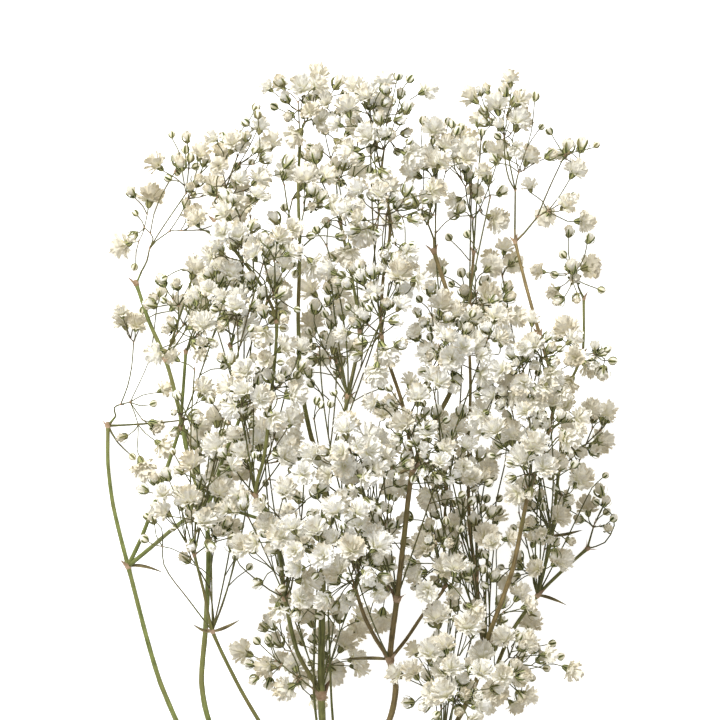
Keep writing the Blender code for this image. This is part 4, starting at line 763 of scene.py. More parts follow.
# The finer shapes. Sizes of a head's parts are in shares of its diameter, other sizes in millimetres.
STALK, CALYX, PETAL, BRACT, LEAF = range(5)
STALK_SIZE = 0.35          # radii of a spray's first stalk, of a fine twig and of a pedicel
FINE_SIZE = 0.29
PEDICEL = 0.19
FLATTEN = 0.42             # how much of its rise a head's axis keeps: most heads are seen from their side
FLATTEN_VARY = (0.4, 1.6)
FACING = 0.2               # share of the heads that keep the whole of it
AXIS_LEAN = np.array([0, 0.12, 0])     # how far heads turn to the far end
STRAIGHT_END = (2.2, 0.35)     # the straight end of a pedicel: the most, and the most over its length
LEAST_LIFT = 0.3           # least height of its line
TWIG_SIDES = 5             # of the tubes of twigs, stubs and stems
STUB_SIDES = 8
STEM_SIDES = 12
STUB_FLARE = np.array([1.3, 1.05, 1.0])
TWIG_STEP = 3.0            # length of the pieces that a twig's tube is made of, and a stem's
STEM_STEP = 2.0
SLIM = 0.86                # a stem's radius over that of its solid
WAVER = 0.03               # how far that varies along it
SWELLING = 0.28            # how much thicker a stem is at its knots, and how far on either side
SWELLING_REACH = 1.8
STRAIGHTEN = 0.55          # how much straighter than the solids' the thinner stalks are
PETAL_STEPS = np.array([0.0, 0.4, 0.76, 1.0])      # shares along a petal, and its width at each of them
PETAL_WIDTHS = np.array([0.2, 0.58, 0.98, 1.1])
PETAL_COLUMNS = 5
PETAL_REACH = 0.53         # radius of the ball that the petals of a head fill
PETAL_NECK = 0.28          # how far before the ball's middle they start
CURL = -0.85               # how far the petals of a half open head bend in
# Layers of petals: how many, their tilt from the head's axis and how far it varies, and half their width.
LAYERS = {
    "full": [
        (10, 1.42, 0.20, 0.13), (10, 1.08, 0.16, 0.13), (9, 0.74, 0.14, 0.125), (6, 0.42, 0.12, 0.12),
        (4, 0.14, 0.10, 0.105)],
    "small full": [
        (8, 1.36, 0.20, 0.155), (8, 0.92, 0.16, 0.155), (6, 0.5, 0.14, 0.135), (4, 0.16, 0.10, 0.11)],
    "half": [(7, 1.02, 0.08, 0.19), (6, 0.7, 0.10, 0.18), (5, 0.34, 0.12, 0.13)],
    "bud": []}
# A head's cup, which is all of a bud's ball: heights over its foot, and radii.
CUPS = {
    "full": [(0, 0.045), (0.04, 0.085), (0.14, 0.125), (0.26, 0.14)],
    "half": [(0, 0.05), (0.06, 0.13), (0.16, 0.24), (0.28, 0.29)],
    "bud": [(0, 0.07), (0.10, 0.22), (0.30, 0.40), (0.54, 0.45), (0.80, 0.37), (0.98, 0.20), (1.06, 0)]}
# Its sepals: half their width, and their heights and distances from the axis.
SEPALS = {
    "full": (0.055, [(0.05, 0.10), (0.16, 0.145), (0.28, 0.19), (0.38, 0.27)]),
    "half": (0.10, [(0.04, 0.14), (0.2, 0.34), (0.42, 0.49), (0.64, 0.53), (0.82, 0.47)]),
    "bud": (0.17, [(0.02, 0.12), (0.26, 0.41), (0.52, 0.49), (0.78, 0.42), (0.96, 0.24)])}

# Painted light: how strongly the petals glow with their own colour, to lift their shade.
PETAL_GLOW = 0.10
FLOOR_GLOW = 0.72
WORLD_LIGHT = 0.58
KEY_LIGHT = 18.5
KEY_SIZE = 0.5
KEY_PLACE = (-0.35, 0.75, 1.0)
KEY_TURN = (math.radians(-33), math.radians(-19), 0)
TABLE_REACH = 1.5
CAMERA_PLACE = (0, 0.1023, 2.035)
LENS = 300
SENSOR = 36
CAMERA_END = 10


def side_heads(sprays, room, rng):
    """Small heads on twigs of their own beside each main head, wherever there is room for them."""
    number = FIRST_PART
    for name, root in sprays.items():
        pedicels = leaf_twigs(root)
        near = room.near([twig["head"]["at"] for twig in pedicels], SPRAY_REACH)
        before = len(near.ends)
        for twig in pedicels:
            twig["sides"] = []
            line = twig["line"]
            ahead = unit(line[-1] - line[0])

            def beside(size):
                start = line[int(rng.uniform(0.0, SIDE_SHARE) * (len(line) - 1))]
                way = unit(ahead + drawn(rng) * 1.1 + SIDE_WAY)
                return start + way * (rng.uniform(*SIDE_OUT) + SIZE_OUT * size), start, way

            for _ in range(1 if twig["head"]["kind"] == "bud" else 2):
                kind = rng.choices(KINDS, SIDE_ODDS)[0]
                size = rng.uniform(*SIDE_HEADS[kind])
                best = freest(near, beside, size, name, -SIDE_OVERLAP)
                if best:
                    number += 1
                    place, start, way = best
                    head = small_head(number, kind, size, place)
                    twig["sides"].append(small_twig(head, start, ahead + 0.4 * way, rng, 0.35, 0.5))
        room.add(near, before)


def freest(near, propose, size, name, least):
    """Takes the freest of some proposed places for a head, or None where all have too little room."""
    best, best_free = None, least
    for _ in range(SIDE_TRIES):
        proposed = propose(size)
        place = proposed[0]
        if (place - 0.5 * size < LOW).any() or (place + 0.5 * size > HIGH).any():
            continue
        free = min(near.around([place], 0.5 * size, name))
        if free > best_free:
            best, best_free = proposed, free
    if best:
        near.take([best[0]], 0.5 * size, name)
    return best


def small_head(number, kind, size, place):
    return {"number": number, "kind": kind, "size": size, "at": place, "small": True}


def small_twig(head, start, heading, rng, sway, bow, pull=0.0):
    """The curved twig of a small head, which sets out along a heading, pulled to its end or not."""
    axis = leant(unit(head["at"] - start) + sway * drawn(rng), rng)
    foot = foot_of(head, axis)
    line = bent(start, heading + pull * unit(foot - start), foot, bow * drawn(rng), 1)
    return {"line": curve(line), "axis": axis, "head": head}


def foot_of(head, axis):
    """Where a head's pedicel ends."""
    return head["at"] - axis * head["size"] * HEAD_NECK[head["kind"]]


def leant(axis, rng):
    """A head's axis turned down towards the surface, as heads seen from their side are."""
    keep = 1.0 if rng.uniform(0, 1) < FACING else FLATTEN * rng.uniform(*FLATTEN_VARY)
    return unit(axis * np.array([1, 1, keep]) + AXIS_LEAN)


def settle(twig, rng):
    """Makes a spray's stalks smooth curves, and turns its heads round their middles with their pedicels."""
    line = np.asarray(twig["line"])
    share = along_line(line)[:, None] / along_line(line)[-1]
    line = line + STRAIGHTEN * (line[0] + share * (line[-1] - line[0]) - line)
    if "head" in twig:
        head = twig["head"]
        axis = twig["axis"] = leant(twig["axis"], rng)
        foot = foot_of(head, axis)
        before = min(STRAIGHT_END[0], STRAIGHT_END[1] * float(np.linalg.norm(foot - line[0])))
        line = np.vstack([line[:-1], foot - axis * before, foot])
        line[:, 2] = np.maximum(line[:, 2], LEAST_LIFT)
    twig["line"] = curve(line)
    for child in twig.get("children", ()):
        settle(child, rng)


def curve(line):
    """A twig's line through its points, rounded and cut into short pieces."""
    return smooth_line(line, TWIG_STEP, 0.8)


def leaf_twigs(twig):
    """The pedicels that grow from a twig, or the twig itself where it is one."""
    if "head" in twig:
        return [twig]
    return [pedicel for child in twig["children"] for pedicel in leaf_twigs(child)]


def fine_twigs(knots, sprays, room, rng):
    """Fine twigs from each spray's knot and from lower ones, with small tufts where the plant is thin."""
    laid = collections.defaultdict(list)
    pedicels = {name: leaf_twigs(root) for name, root in sprays.items()}
    heads = [twig["head"]["at"] for group in pedicels.values() for twig in group]
    heads += [side["head"]["at"] for group in pedicels.values() for twig in group for side in twig["sides"]]
    spots = [place[:2] for place in heads]
    middles = {
        name: np.mean([twig["head"]["at"] for twig in group], axis=0) for name, group in pedicels.items()}
    numbers = iter(range(2 * FIRST_PART, 9 * FIRST_PART))
    uses = dict.fromkeys(knots, 0)
    for name, middle in middles.items():
        crowd = sum(np.linalg.norm((middle - other)[:2]) < CROWD_REACH for other in middles.values()) - 1
        lower = lower_knots(knots, middle)
        for turn in range(TUFTS.get(name.removeprefix("spray_"), 1 + crowd // 3)):
            if turn % 2 and lower:
                label = min(lower, key=lambda each: uses[each] + rng.random())
            else:
                label = SPRAYS[name][0]
            uses[label] += 1
            target = thin_spot(middle, spots, rng)
            twig = lay_tuft(knots[label], target, rng.choice((2, 3, 3, 4)), room, rng, numbers)
            spots += [child["head"]["at"][:2] for child in twig["children"]]
            laid[knots[label]["stem"]].append(twig)
    for label, count in FANS.items():
        for _ in range(count):
            target = fan_spot(knots[label]["at"], spots, rng)
            twig = lay_tuft(knots[label], target, rng.choice((1, 1, 2)), room, rng, numbers)
            laid[knots[label]["stem"]].append(twig)
    for label, routes in LOOSE.items():
        for points in routes:
            twig = loose_twig(knots[label]["at"], points, rng, next(numbers))
            twig["size"] = LOOSE_SIZE.get(label, FINE_SIZE)
            laid[knots[label]["stem"]].append(twig)
    return laid


def fan_spot(start, spots, rng):
    """A place above a knot for the end of a straight stalk, among the crown's heads."""
    for _ in range(TUFT_TRIES):
        rise = rng.uniform(*FAN_RISE)
        place = start + rise * np.array([rng.uniform(-FAN_LEAN, FAN_LEAN), 1.0, rng.uniform(*FAN_LIFT)])
        place = np.clip(place, LOW + CROWN_EDGE, HIGH - CROWN_EDGE)
        if (np.linalg.norm(np.array(spots) - place[:2], axis=1) < CLOSE).sum() >= LEAST_CLOSE:
            break
    return place


def loose_twig(start, points, rng, number):
    """A single fine twig through chosen points, with a bud or a half open head at its end."""
    line = curve(np.vstack([start, points]))
    kind = rng.choice(("bud", "bud", "half"))
    size = rng.uniform(*SIDE_HEADS[kind])
    axis = unit(line[-1] - line[-2])
    place = line[-1] + axis * size * HEAD_NECK[kind]
    return {"line": line, "axis": axis, "head": small_head(number, kind, size, place)}


def lower_knots(knots, middle):
    """Knots from which a long twig could rise to a place without leaning far."""
    found = []
    for label, knot in knots.items():
        rise, lean = middle[1] - knot["at"][1], abs(middle[0] - knot["at"][0])
        if LONG_TWIG[0] < rise < LONG_TWIG[1] and lean < 0.4 * rise and not label.endswith("_rest"):
            found.append(label)
    return found


def thin_spot(middle, spots, rng):
    """A place for a tuft near a spray's middle, where fewest heads lie near it as seen from above."""
    best, best_free = middle, -1.0
    for _ in range(TUFT_TRIES):
        place = middle + drawn(rng) * TUFT_REACH - np.array([0, 0, TUFT_DROP])
        place = np.clip(place, LOW + CROWN_EDGE, HIGH - CROWN_EDGE)
        gaps = np.linalg.norm(np.array(spots) - place[:2], axis=1)
        free = float(gaps.min())
        if free > best_free and (gaps < CLOSE).sum() >= LEAST_CLOSE:
            best, best_free = place, free
    return best


def lay_tuft(knot, end, count, room, rng, numbers):
    """One fine twig from a knot to a place, with a few small heads at its fork and one or two on its way."""
    near = room.near([knot["at"], end], SPRAY_REACH)
    before = len(near.ends)
    span = float(np.linalg.norm(end - knot["at"]))
    line, line_free = None, -99.0
    for _ in range(TWIG_TRIES):
        fork = end + drawn(rng) * FINE_STRAY
        heading = unit(unit(end - knot["at"]) + 0.3 * drawn(rng))
        tried = bent(knot["at"], heading, fork, drawn(rng) * FINE_BOW * span, 2 if span < LONG_FINE else 4)
        tested = tried.copy()
        tested[0] += STUB_REACH * unit(tried[1] - tried[0])
        free = min(near.around(tested, FINE_ROOM, knot["stem"]))
        if free > line_free and tried[:, 2].min() > FINE_LIFT:
            line, line_free = tried, free
    near.take(line, FINE_ROOM, knot["stem"])
    line = curve(line)
    twig = {"line": line, "children": [], "sides": []}
    ahead, way = unit(line[-1] - line[0]), unit(line[-1] - line[-2])

    def on_the_way(_):
        return (start + unit(ahead + 0.9 * drawn(rng)) * rng.uniform(*FINE_OUT),)

    def past_the_fork(size):
        out = unit(way + 0.95 * drawn(rng))
        return (line[-1] + out * (rng.uniform(*TUFT_OUT) + SIZE_OUT * size),)

    for share in FINE_SIDES if span > LONG_FINE else SHORT_SIDES:
        start = line[0] + share * (line[-1] - line[0])
        start = line[np.argmin(np.linalg.norm(line - start, axis=1))]
        kind = rng.choice(("half", "bud", "bud"))
        size = rng.uniform(*SIDE_HEADS[kind])
        best = freest(near, on_the_way, size, "tufts", -SIDE_OVERLAP)
        if best:
            head = small_head(next(numbers), kind, size, best[0])
            twig["sides"].append(small_twig(head, start, ahead, rng, 0.3, 0.6, 1.0))
    for _ in range(count):
        kind = rng.choices(KINDS, TUFT_ODDS)[0]
        size = rng.uniform(*SIDE_HEADS[kind])
        best = freest(near, past_the_fork, size, "tufts", -99.0)
        if best:
            head = small_head(next(numbers), kind, size, best[0])
            twig["children"].append(small_twig(head, line[-1], way, rng, 0.3, 0.4))
    room.add(near, before)
    return twig


class Skin:
    """Gathers one piece's corners, faces, material numbers and texture places."""

    def __init__(self):
        self.points, self.quads, self.slots, self.places = [], [], [], []
        self.count = 0

    def grids(self, points, places, slot, closed=False):
        """Adds surfaces, with points (count, rows, columns, 3) and places (count, rows, columns, 2)."""
        number = self.count + np.arange(points[..., 0].size).reshape(points.shape[:3])
        if closed:
            ahead = np.roll(number, -1, axis=2)
        else:
            ahead, number = number[:, :, 1:], number[:, :, :-1]
        quads = np.stack([number[:, :-1], ahead[:, :-1], ahead[:, 1:], number[:, 1:]], axis=-1).reshape(-1, 4)
        self.points.append(points.reshape(-1, 3))
        self.places.append(places.reshape(-1, 2))
        self.quads.append(quads)
        self.slots.append(np.full(len(quads), slot))
        self.count += points[..., 0].size

    def piece(self, name, materials):
        points = np.vstack(self.points)
        points[:, 2] = np.maximum(points[:, 2], 0.02)
        points = (points - MIDDLE) * MM
        quads, slots, places = np.vstack(self.quads), np.concatenate(self.slots), np.vstack(self.places)
        mesh = bpy.data.meshes.new(name)
        mesh.vertices.add(len(points))
        mesh.vertices.foreach_set("co", points.ravel())
        mesh.loops.add(quads.size)
        mesh.loops.foreach_set("vertex_index", quads.ravel())
        mesh.polygons.add(len(quads))
        mesh.polygons.foreach_set("loop_start", np.arange(0, quads.size, 4))
        mesh.polygons.foreach_set("material_index", slots)
        mesh.polygons.foreach_set("use_smooth", np.ones(len(quads), bool))
        layer = mesh.uv_layers.new(name="places")
        layer.data.foreach_set("uv", places[quads.ravel()].ravel())
        mesh.update()
        mesh.validate()
        for each in materials:
            mesh.materials.append(each)
        return placed(name, mesh)


def placed(name, data):
    made = bpy.data.objects.new(name, data)
    bpy.context.scene.collection.objects.link(made)
    return made


def side_ways(way):
    """Two ways at right angles to a way and to each other."""
    first = unit(np.cross(way, (0.31, 0.17, 0.93)))
    return first, np.cross(way, first)


def smooth_line(points, step, ease=0.5):
    """A line through the points, rounded at its corners, with a corner of its own about every step."""
    points = np.asarray(points, float)
    ends = np.vstack([2 * points[0] - points[1], points, 2 * points[-1] - points[-2]])
    out = []
    for a, b, c, d in zip(ends[:-3], ends[1:-2], ends[2:-1], ends[3:]):
        span = np.linalg.norm(c - b)
        out_way = ease * unit(c - a) * span + (1 - ease) * (c - b)
        in_way = ease * unit(d - b) * span + (1 - ease) * (c - b)
        t = np.linspace(0, 1, max(int(span / step), 2), endpoint=False)[:, None]
        out.append(
            (2 * t ** 3 - 3 * t ** 2 + 1) * b + (t ** 3 - 2 * t ** 2 + t) * out_way
            + (3 * t ** 2 - 2 * t ** 3) * c + (t ** 3 - t ** 2) * in_way)
    return np.vstack(out + [points[-1:]])


def texture_places(across, along, tint=0):
    """Texture places from shares across, from -1 to 1, and along, with a head's number as a whole part."""
    return np.stack(np.broadcast_arrays(tint + 0.5 + 0.45 * across, along), axis=-1)


def add_tube(skin, line, radii, sides):
    """A tube along a line with a radius at each of its points; its texture runs in millimetres along it."""
    line = np.asarray(line)
    ways = np.gradient(line, axis=0)
    ways /= np.linalg.norm(ways, axis=1)[:, None] + 1e-9
    across = side_ways(ways[0])[0]
    rows = []
    angles = 2 * math.pi * np.arange(sides) / sides
    for point, way, radius in zip(line, ways, radii):
        across = unit(across - way * float(across @ way))
        up = np.cross(way, across)
        rows.append(point + radius * (np.cos(angles)[:, None] * across + np.sin(angles)[:, None] * up))
    rows = np.array(rows)
    rows = np.concatenate([line[:1, None].repeat(sides, 1), rows, line[-1:, None].repeat(sides, 1)])
    length = along_line(line)
    length = np.concatenate([length[:1], length, length[-1:]])
    places = texture_places(np.sin(angles)[None], length[:, None] * 0.05)
    skin.grids(rows[None], places[None], STALK, closed=True)


def add_petals(skin, root, axis, size, layers, turn, tint, rng, curl):
    """Ruffled petals in layers round a head's axis: thin crumpled fans with toothed edges, in a ball."""
    side, up = side_ways(axis)
    t, neck = PETAL_STEPS, PETAL_NECK
    u = np.linspace(-1, 1, PETAL_COLUMNS)
    teeth = np.where(np.arange(PETAL_COLUMNS) % 2, 1.0, -1.0)
    for number, (count, tilt, vary, width) in enumerate(layers):
        azimuth = np.arange(count) + rng.uniform(-0.3, 0.3, count)
        azimuth = turn + number * 0.9 + 2 * math.pi * azimuth / count
        tilts = np.maximum(tilt + rng.uniform(-vary, vary, count), 0.02)
        lengths = neck * np.cos(tilts) + np.sqrt(PETAL_REACH ** 2 - (neck * np.sin(tilts)) ** 2)
        lengths = size * lengths * rng.uniform(0.86, 1.04, count) * (1.12 if curl else 1.0)
        widths = size * width * rng.uniform(0.8, 1.25, count)
        radial = np.cos(azimuth)[:, None] * side + np.sin(azimuth)[:, None] * up
        tangent = np.cross(axis, radial)
        angle = tilts[:, None] * (0.62 + 0.5 * t[None]) + curl * t[None] ** 2
        steps = np.diff(t, prepend=0)[None, :, None]
        run_way = np.sin(angle)[..., None] * radial[:, None] + np.cos(angle)[..., None] * axis
        out_way = np.cos(angle)[..., None] * radial[:, None] - np.sin(angle)[..., None] * axis
        middle = root + axis * size * 0.22 + radial[:, None] * size * 0.03
        middle = middle + np.cumsum(run_way * steps, axis=1) * lengths[:, None, None]
        broad = widths[:, None, None] * PETAL_WIDTHS[None, :, None]
        rise = t[None, :, None] ** 1.3
        phase = rng.uniform(0, 2 * math.pi, (count, 1, 1))
        waves = rng.uniform(2.6, 4.2, (count, 1, 1))
        across = u[None, None, :]
        crumple = size * 0.06 * rise * np.sin(waves * across + phase + 1.2 * t[None, :, None])
        crumple = crumple - rng.uniform(-0.2, 0.6, (count, 1, 1)) * broad * across ** 2
        toothed = (t > 0.9)[None, :, None] * teeth[None, None] * size * 0.04
        edge = toothed * rng.uniform(0.2, 1.6, (count, 1, PETAL_COLUMNS))
        rounded = 0.07 * lengths[:, None, None] * rise * across ** 2
        edge = edge - rounded * rng.uniform(0.2, 1.2, (count, 1, 1))
        points = (
            middle[:, :, None] + (across * broad)[..., None] * tangent[:, None, None]
            + crumple[..., None] * out_way[:, :, None] + edge[..., None] * run_way[:, :, None])
        points += rng.normal(0, 1, points.shape) * size * 0.013 * rise[..., None]
        places = texture_places(u[None], t[:, None], tint)
        skin.grids(points, places[None].repeat(count, 0), PETAL)


def add_lathe(skin, root, axis, profile, sides, slot, tint=0, turn=0.0):
    """A round body from its heights and radii along an axis."""
    side, up = side_ways(axis)
    angles = turn + 2 * math.pi * np.arange(sides) / sides
    spokes = np.cos(angles)[:, None] * side + np.sin(angles)[:, None] * up
    points = np.array([root + axis * height + radius * spokes for height, radius in profile])
    along = np.linspace(0, 1, len(profile))
    places = texture_places(np.cos(5 * (angles - turn))[None], along[:, None], tint)
    skin.grids(points[None], places[None], slot, closed=True)


def add_scales(skin, root, axis, count, turn, profile, width, slot, rng, tint=0):
    """Narrow pointed scales round an axis, along a profile of heights and distances from the axis."""
    side, up = side_ways(axis)
    t = np.linspace(0, 1, len(profile))
    heights, reaches = np.array(profile).T
    u = np.array([-1.0, 0, 1.0])
    azimuth = turn + 2 * math.pi * np.arange(count) / count + rng.uniform(-0.12, 0.12, count)
    grown = rng.uniform(0.85, 1.1, count)[:, None, None, None]
    radial = (np.cos(azimuth)[:, None] * side + np.sin(azimuth)[:, None] * up)[:, None, None]
    tangent = np.cross(axis, radial)
    broad = (width * np.interp(t, (0, 0.4, 0.75, 1), (0.75, 1.0, 0.7, 0.05)))[None, :, None, None]
    keel = -0.3 * np.abs(u)[None, None, :, None] * broad
    points = (
        root + axis * (heights[0] + grown * (heights - heights[0])[None, :, None, None])
        + radial * (reaches[None, :, None, None] + keel) + u[None, None, :, None] * broad * tangent)
    places = texture_places(1 - 2 * np.abs(u)[None], t[:, None], tint)
    skin.grids(points, places[None].repeat(count, 0), slot)


def add_bloom(skin, twig):
    """A head at the end of its pedicel: an open flower, a half open one or a bud."""
    head, foot, axis = twig["head"], twig["line"][-1], twig["axis"]
    size, kind, small = head["size"], head["kind"], "small" in head
    rng = np.random.default_rng(1000 * SEED + head["number"])
    tint = int(rng.integers(0, 16))
    turn = rng.uniform(0, 2 * math.pi)
    cup = np.maximum(size * np.array(CUPS[kind]), (0, 0.01))
    add_lathe(skin, foot, axis, cup, 8 if small else 10, PETAL if kind == "bud" else CALYX, tint, turn)
    width, sepals = SEPALS[kind]
    add_scales(skin, foot, axis, 5, turn, size * np.array(sepals), width * size, CALYX, rng, tint)
    layers = LAYERS["small full" if small and kind == "full" else kind]
    add_petals(skin, foot, axis, size, layers, turn, tint, rng, CURL if kind == "half" else 0.0)


def add_knot(skin, point, way, radius, length, rng):
    """The collar of a knot with its pair of small bracts."""
    add_lathe(skin, point - way * 0.6 * length, way, [
        (0, radius * 0.8), (0.4 * length, radius * 1.26), (0.8 * length, radius * 1.34),
        (1.25 * length, radius * 0.7)], 6 if radius < 0.6 else 10, BRACT)
    add_scales(skin, point - way * 0.2 * length, way, 2, rng.uniform(0, 6.28), [
        (0, radius * 1.1), (0.5 * length, radius * 1.5), (length, radius * 1.5 + 0.35 * length),
        (1.6 * length, radius * 1.5 + 0.9 * length)], radius * 0.9, BRACT, rng)


def add_twigs(skin, twig, size, rng):
    """A twig's tube with the knot or the head at its end, and all that grows from it."""
    line = twig["line"]
    count = len(line)
    last = "head" in twig
    thin = PEDICEL if last else max(size * 0.84, PEDICEL * 1.15)
    bow = 0 if twig.get("sides") else np.sin(np.linspace(0, math.pi, count))[:, None] * rng.normal(0, 0.12, 3)
    add_tube(skin, line + bow, np.linspace(size, thin, count), TWIG_SIDES)
    for side in twig.get("sides", ()):
        way = unit(line[-1] - line[0])
        add_knot(skin, side["line"][0], way, PEDICEL, 0.7, rng)
        add_twigs(skin, side, PEDICEL * 1.1, rng)
    if last:
        add_bloom(skin, twig)
        return
    way = unit(line[-1] - line[-2])
    add_knot(skin, line[-1], way, thin, 0.8, rng)
    for child in twig["children"]:
        add_twigs(skin, child, max(thin * (0.75 if "head" in child else 0.92), PEDICEL), rng)


def spray_piece(name, root, materials):
    skin = Skin()
    rng = np.random.default_rng(sum(name.encode()))
    first = root["line"][0] - root["from"] * (SEAM + 1.2)
    root = dict(root, line=np.vstack([first, root["line"]]))
    add_twigs(skin, root, STALK_SIZE, rng)
    return skin.piece(name + "_look", materials)


def fine_piece(name, twigs, materials):
    skin = Skin()
    rng = np.random.default_rng(sum(name.encode()) + 1)
    for twig in twigs:
        add_twigs(skin, twig, twig.get("size", FINE_SIZE), rng)
    return skin.piece(name + "_fine_twigs", materials)


def add_leaf(skin, start, way, bend, length):
    """A narrow pointed leaf, folded along its middle, that bends to one side."""
    way, bend = unit(np.array(way, float)), unit(np.array(bend, float))
    t = np.linspace(0, 1, 10)[:, None]
    u = np.linspace(-1, 1, 5)
    middle = start + way * length * t + bend * length * 0.55 * t ** 2
    across = unit(np.cross(way, np.cross(way, bend)))
    normal = unit(np.cross(way, across))
    broad = 0.62 * np.sin(0.35 + 2.75 * t) ** 0.8
    points = (
        middle[:, None] + (u[None] * broad)[..., None] * across
        + ((np.abs(u) * 0.55 * broad) + 0.12 * np.sin(9 * t + 3 * u))[..., None] * normal)
    skin.grids(points[None], texture_places(u[None], t)[None], LEAF)


def stem_piece(name, routes, knots, materials):
    """A stem node: smooth tubes, collars and bracts at their knots, the stubs of its twigs, and leaves."""
    skin = Skin()
    rng = np.random.default_rng(sum(name.encode()))
    for route in routes:
        line = smooth_line(route["line"], STEM_STEP, 0.7)
        length = along_line(line)
        marks = along_line(route["line"])
        radii = np.interp(length / length[-1], marks / marks[-1], route["radii"]) * SLIM
        radii = radii * (1 + WAVER * np.sin(length * 0.9 + rng.uniform(0, 6)))
        for index, label in enumerate(route["labels"]):
            if label is not None:
                near = np.linalg.norm(line - route["line"][index], axis=1)
                radii = radii * (1 + SWELLING * np.exp(-(near / SWELLING_REACH) ** 2))
        add_tube(skin, line, radii, STEM_SIDES)
    for knot in knots.values():
        if knot["stem"] != name:
            continue
        way = unit(knot["ways"][0] * -1)
        add_knot(skin, knot["at"], way, knot["radius"] * 1.02, 1.9 * knot["radius"] + 0.7, rng)
        for stub_way, radius in knot["stubs"]:
            size = STALK_SIZE if radius == STUB_SIZE else radius
            line = np.array([knot["at"], knot["at"] + stub_way * 0.5 * STUB, knot["at"] + stub_way * STUB])
            add_tube(skin, line, size * STUB_FLARE, STUB_SIDES)
    for label, way, bend, length in LEAVES.get(name, ()):
        add_leaf(skin, knots[label]["at"], way, bend, length)
    return skin.piece(name + "_look", materials)


class Nodes:
    """Short hand for building a material's nodes."""

    def __init__(self, name):
        self.material = bpy.data.materials.new(name)
        self.material.use_nodes = True
        self.tree = self.material.node_tree
        self.surface = self.tree.nodes["Principled BSDF"]

    def add(self, kind, **settings):
        node = self.tree.nodes.new("ShaderNode" + kind)
        for key, value in settings.items():
            setattr(node, key, value)
        return node

    def link(self, a, b):
        self.tree.links.new(a, b)

    def set(self, socket, item):
        if isinstance(item, (int, float)):
            socket.default_value = item
        elif isinstance(item, tuple):
            socket.default_value = (*item, 1)
        else:
            self.link(item, socket)

    def value(self, operation, *items):
        node = self.add("Math", operation=operation)
        for socket, item in zip(node.inputs, items):
            self.set(socket, item)
        return node.outputs[0]

    def ramp(self, factor, stops):
        node = self.add("ValToRGB")
        ramp = node.color_ramp
        while len(ramp.elements) < len(stops):
            ramp.elements.new(0.5)
        for element, (place, colour) in zip(ramp.elements, stops):
            element.position = place
            element.color = (*colour, 1)
        self.link(factor, node.inputs["Fac"])
        return node.outputs["Color"]

    def mix(self, factor, a, b):
        node = self.add("Mix", data_type="RGBA")
        sockets = [socket for socket in node.inputs if socket.enabled]
        for socket, item in zip(sockets, (factor, a, b)):
            self.set(socket, item)
        return [socket for socket in node.outputs if socket.enabled][0]

    def masked(self, mask, start, stop, strength, colour, other):
        """Blends into another colour where a mask rises from one value to another, up to a strength."""
        mask = self.ramp(mask, [(start, (0, 0, 0)), (stop, (strength, strength, strength))])
        return self.mix(mask, colour, other)

    def noise(self, place, scale, detail=3.0, roughness=0.55):
        node = self.add("TexNoise")
        node.inputs["Scale"].default_value = scale
        node.inputs["Detail"].default_value = detail
        node.inputs["Roughness"].default_value = roughness
        self.link(place, node.inputs["Vector"])
        return node.outputs["Fac"]

    def finish(self, colour, roughness, bump, distance):
        self.link(colour, self.surface.inputs["Base Color"])
        self.surface.inputs["Roughness"].default_value = roughness
        self.surface.inputs["Metallic"].default_value = 0
        self.surface.inputs["Specular IOR Level"].default_value = 0.25
        node = self.add("Bump")
        node.inputs["Strength"].default_value = 0.5
        node.inputs["Distance"].default_value = distance
        self.link(bump, node.inputs["Height"])
        self.link(node.outputs["Normal"], self.surface.inputs["Normal"])
        return self.material


def places_of(nodes):
    """The object's own coordinates, and a place's share across, its share along and its head's number."""
    coordinates = nodes.add("TexCoord")
    split_places = nodes.add("SeparateXYZ")
    nodes.link(coordinates.outputs["UV"], split_places.inputs[0])
    across = nodes.value("FRACT", split_places.outputs["X"])
    number = nodes.value("FLOOR", split_places.outputs["X"])
    return coordinates.outputs["Object"], across, split_places.outputs["Y"], number


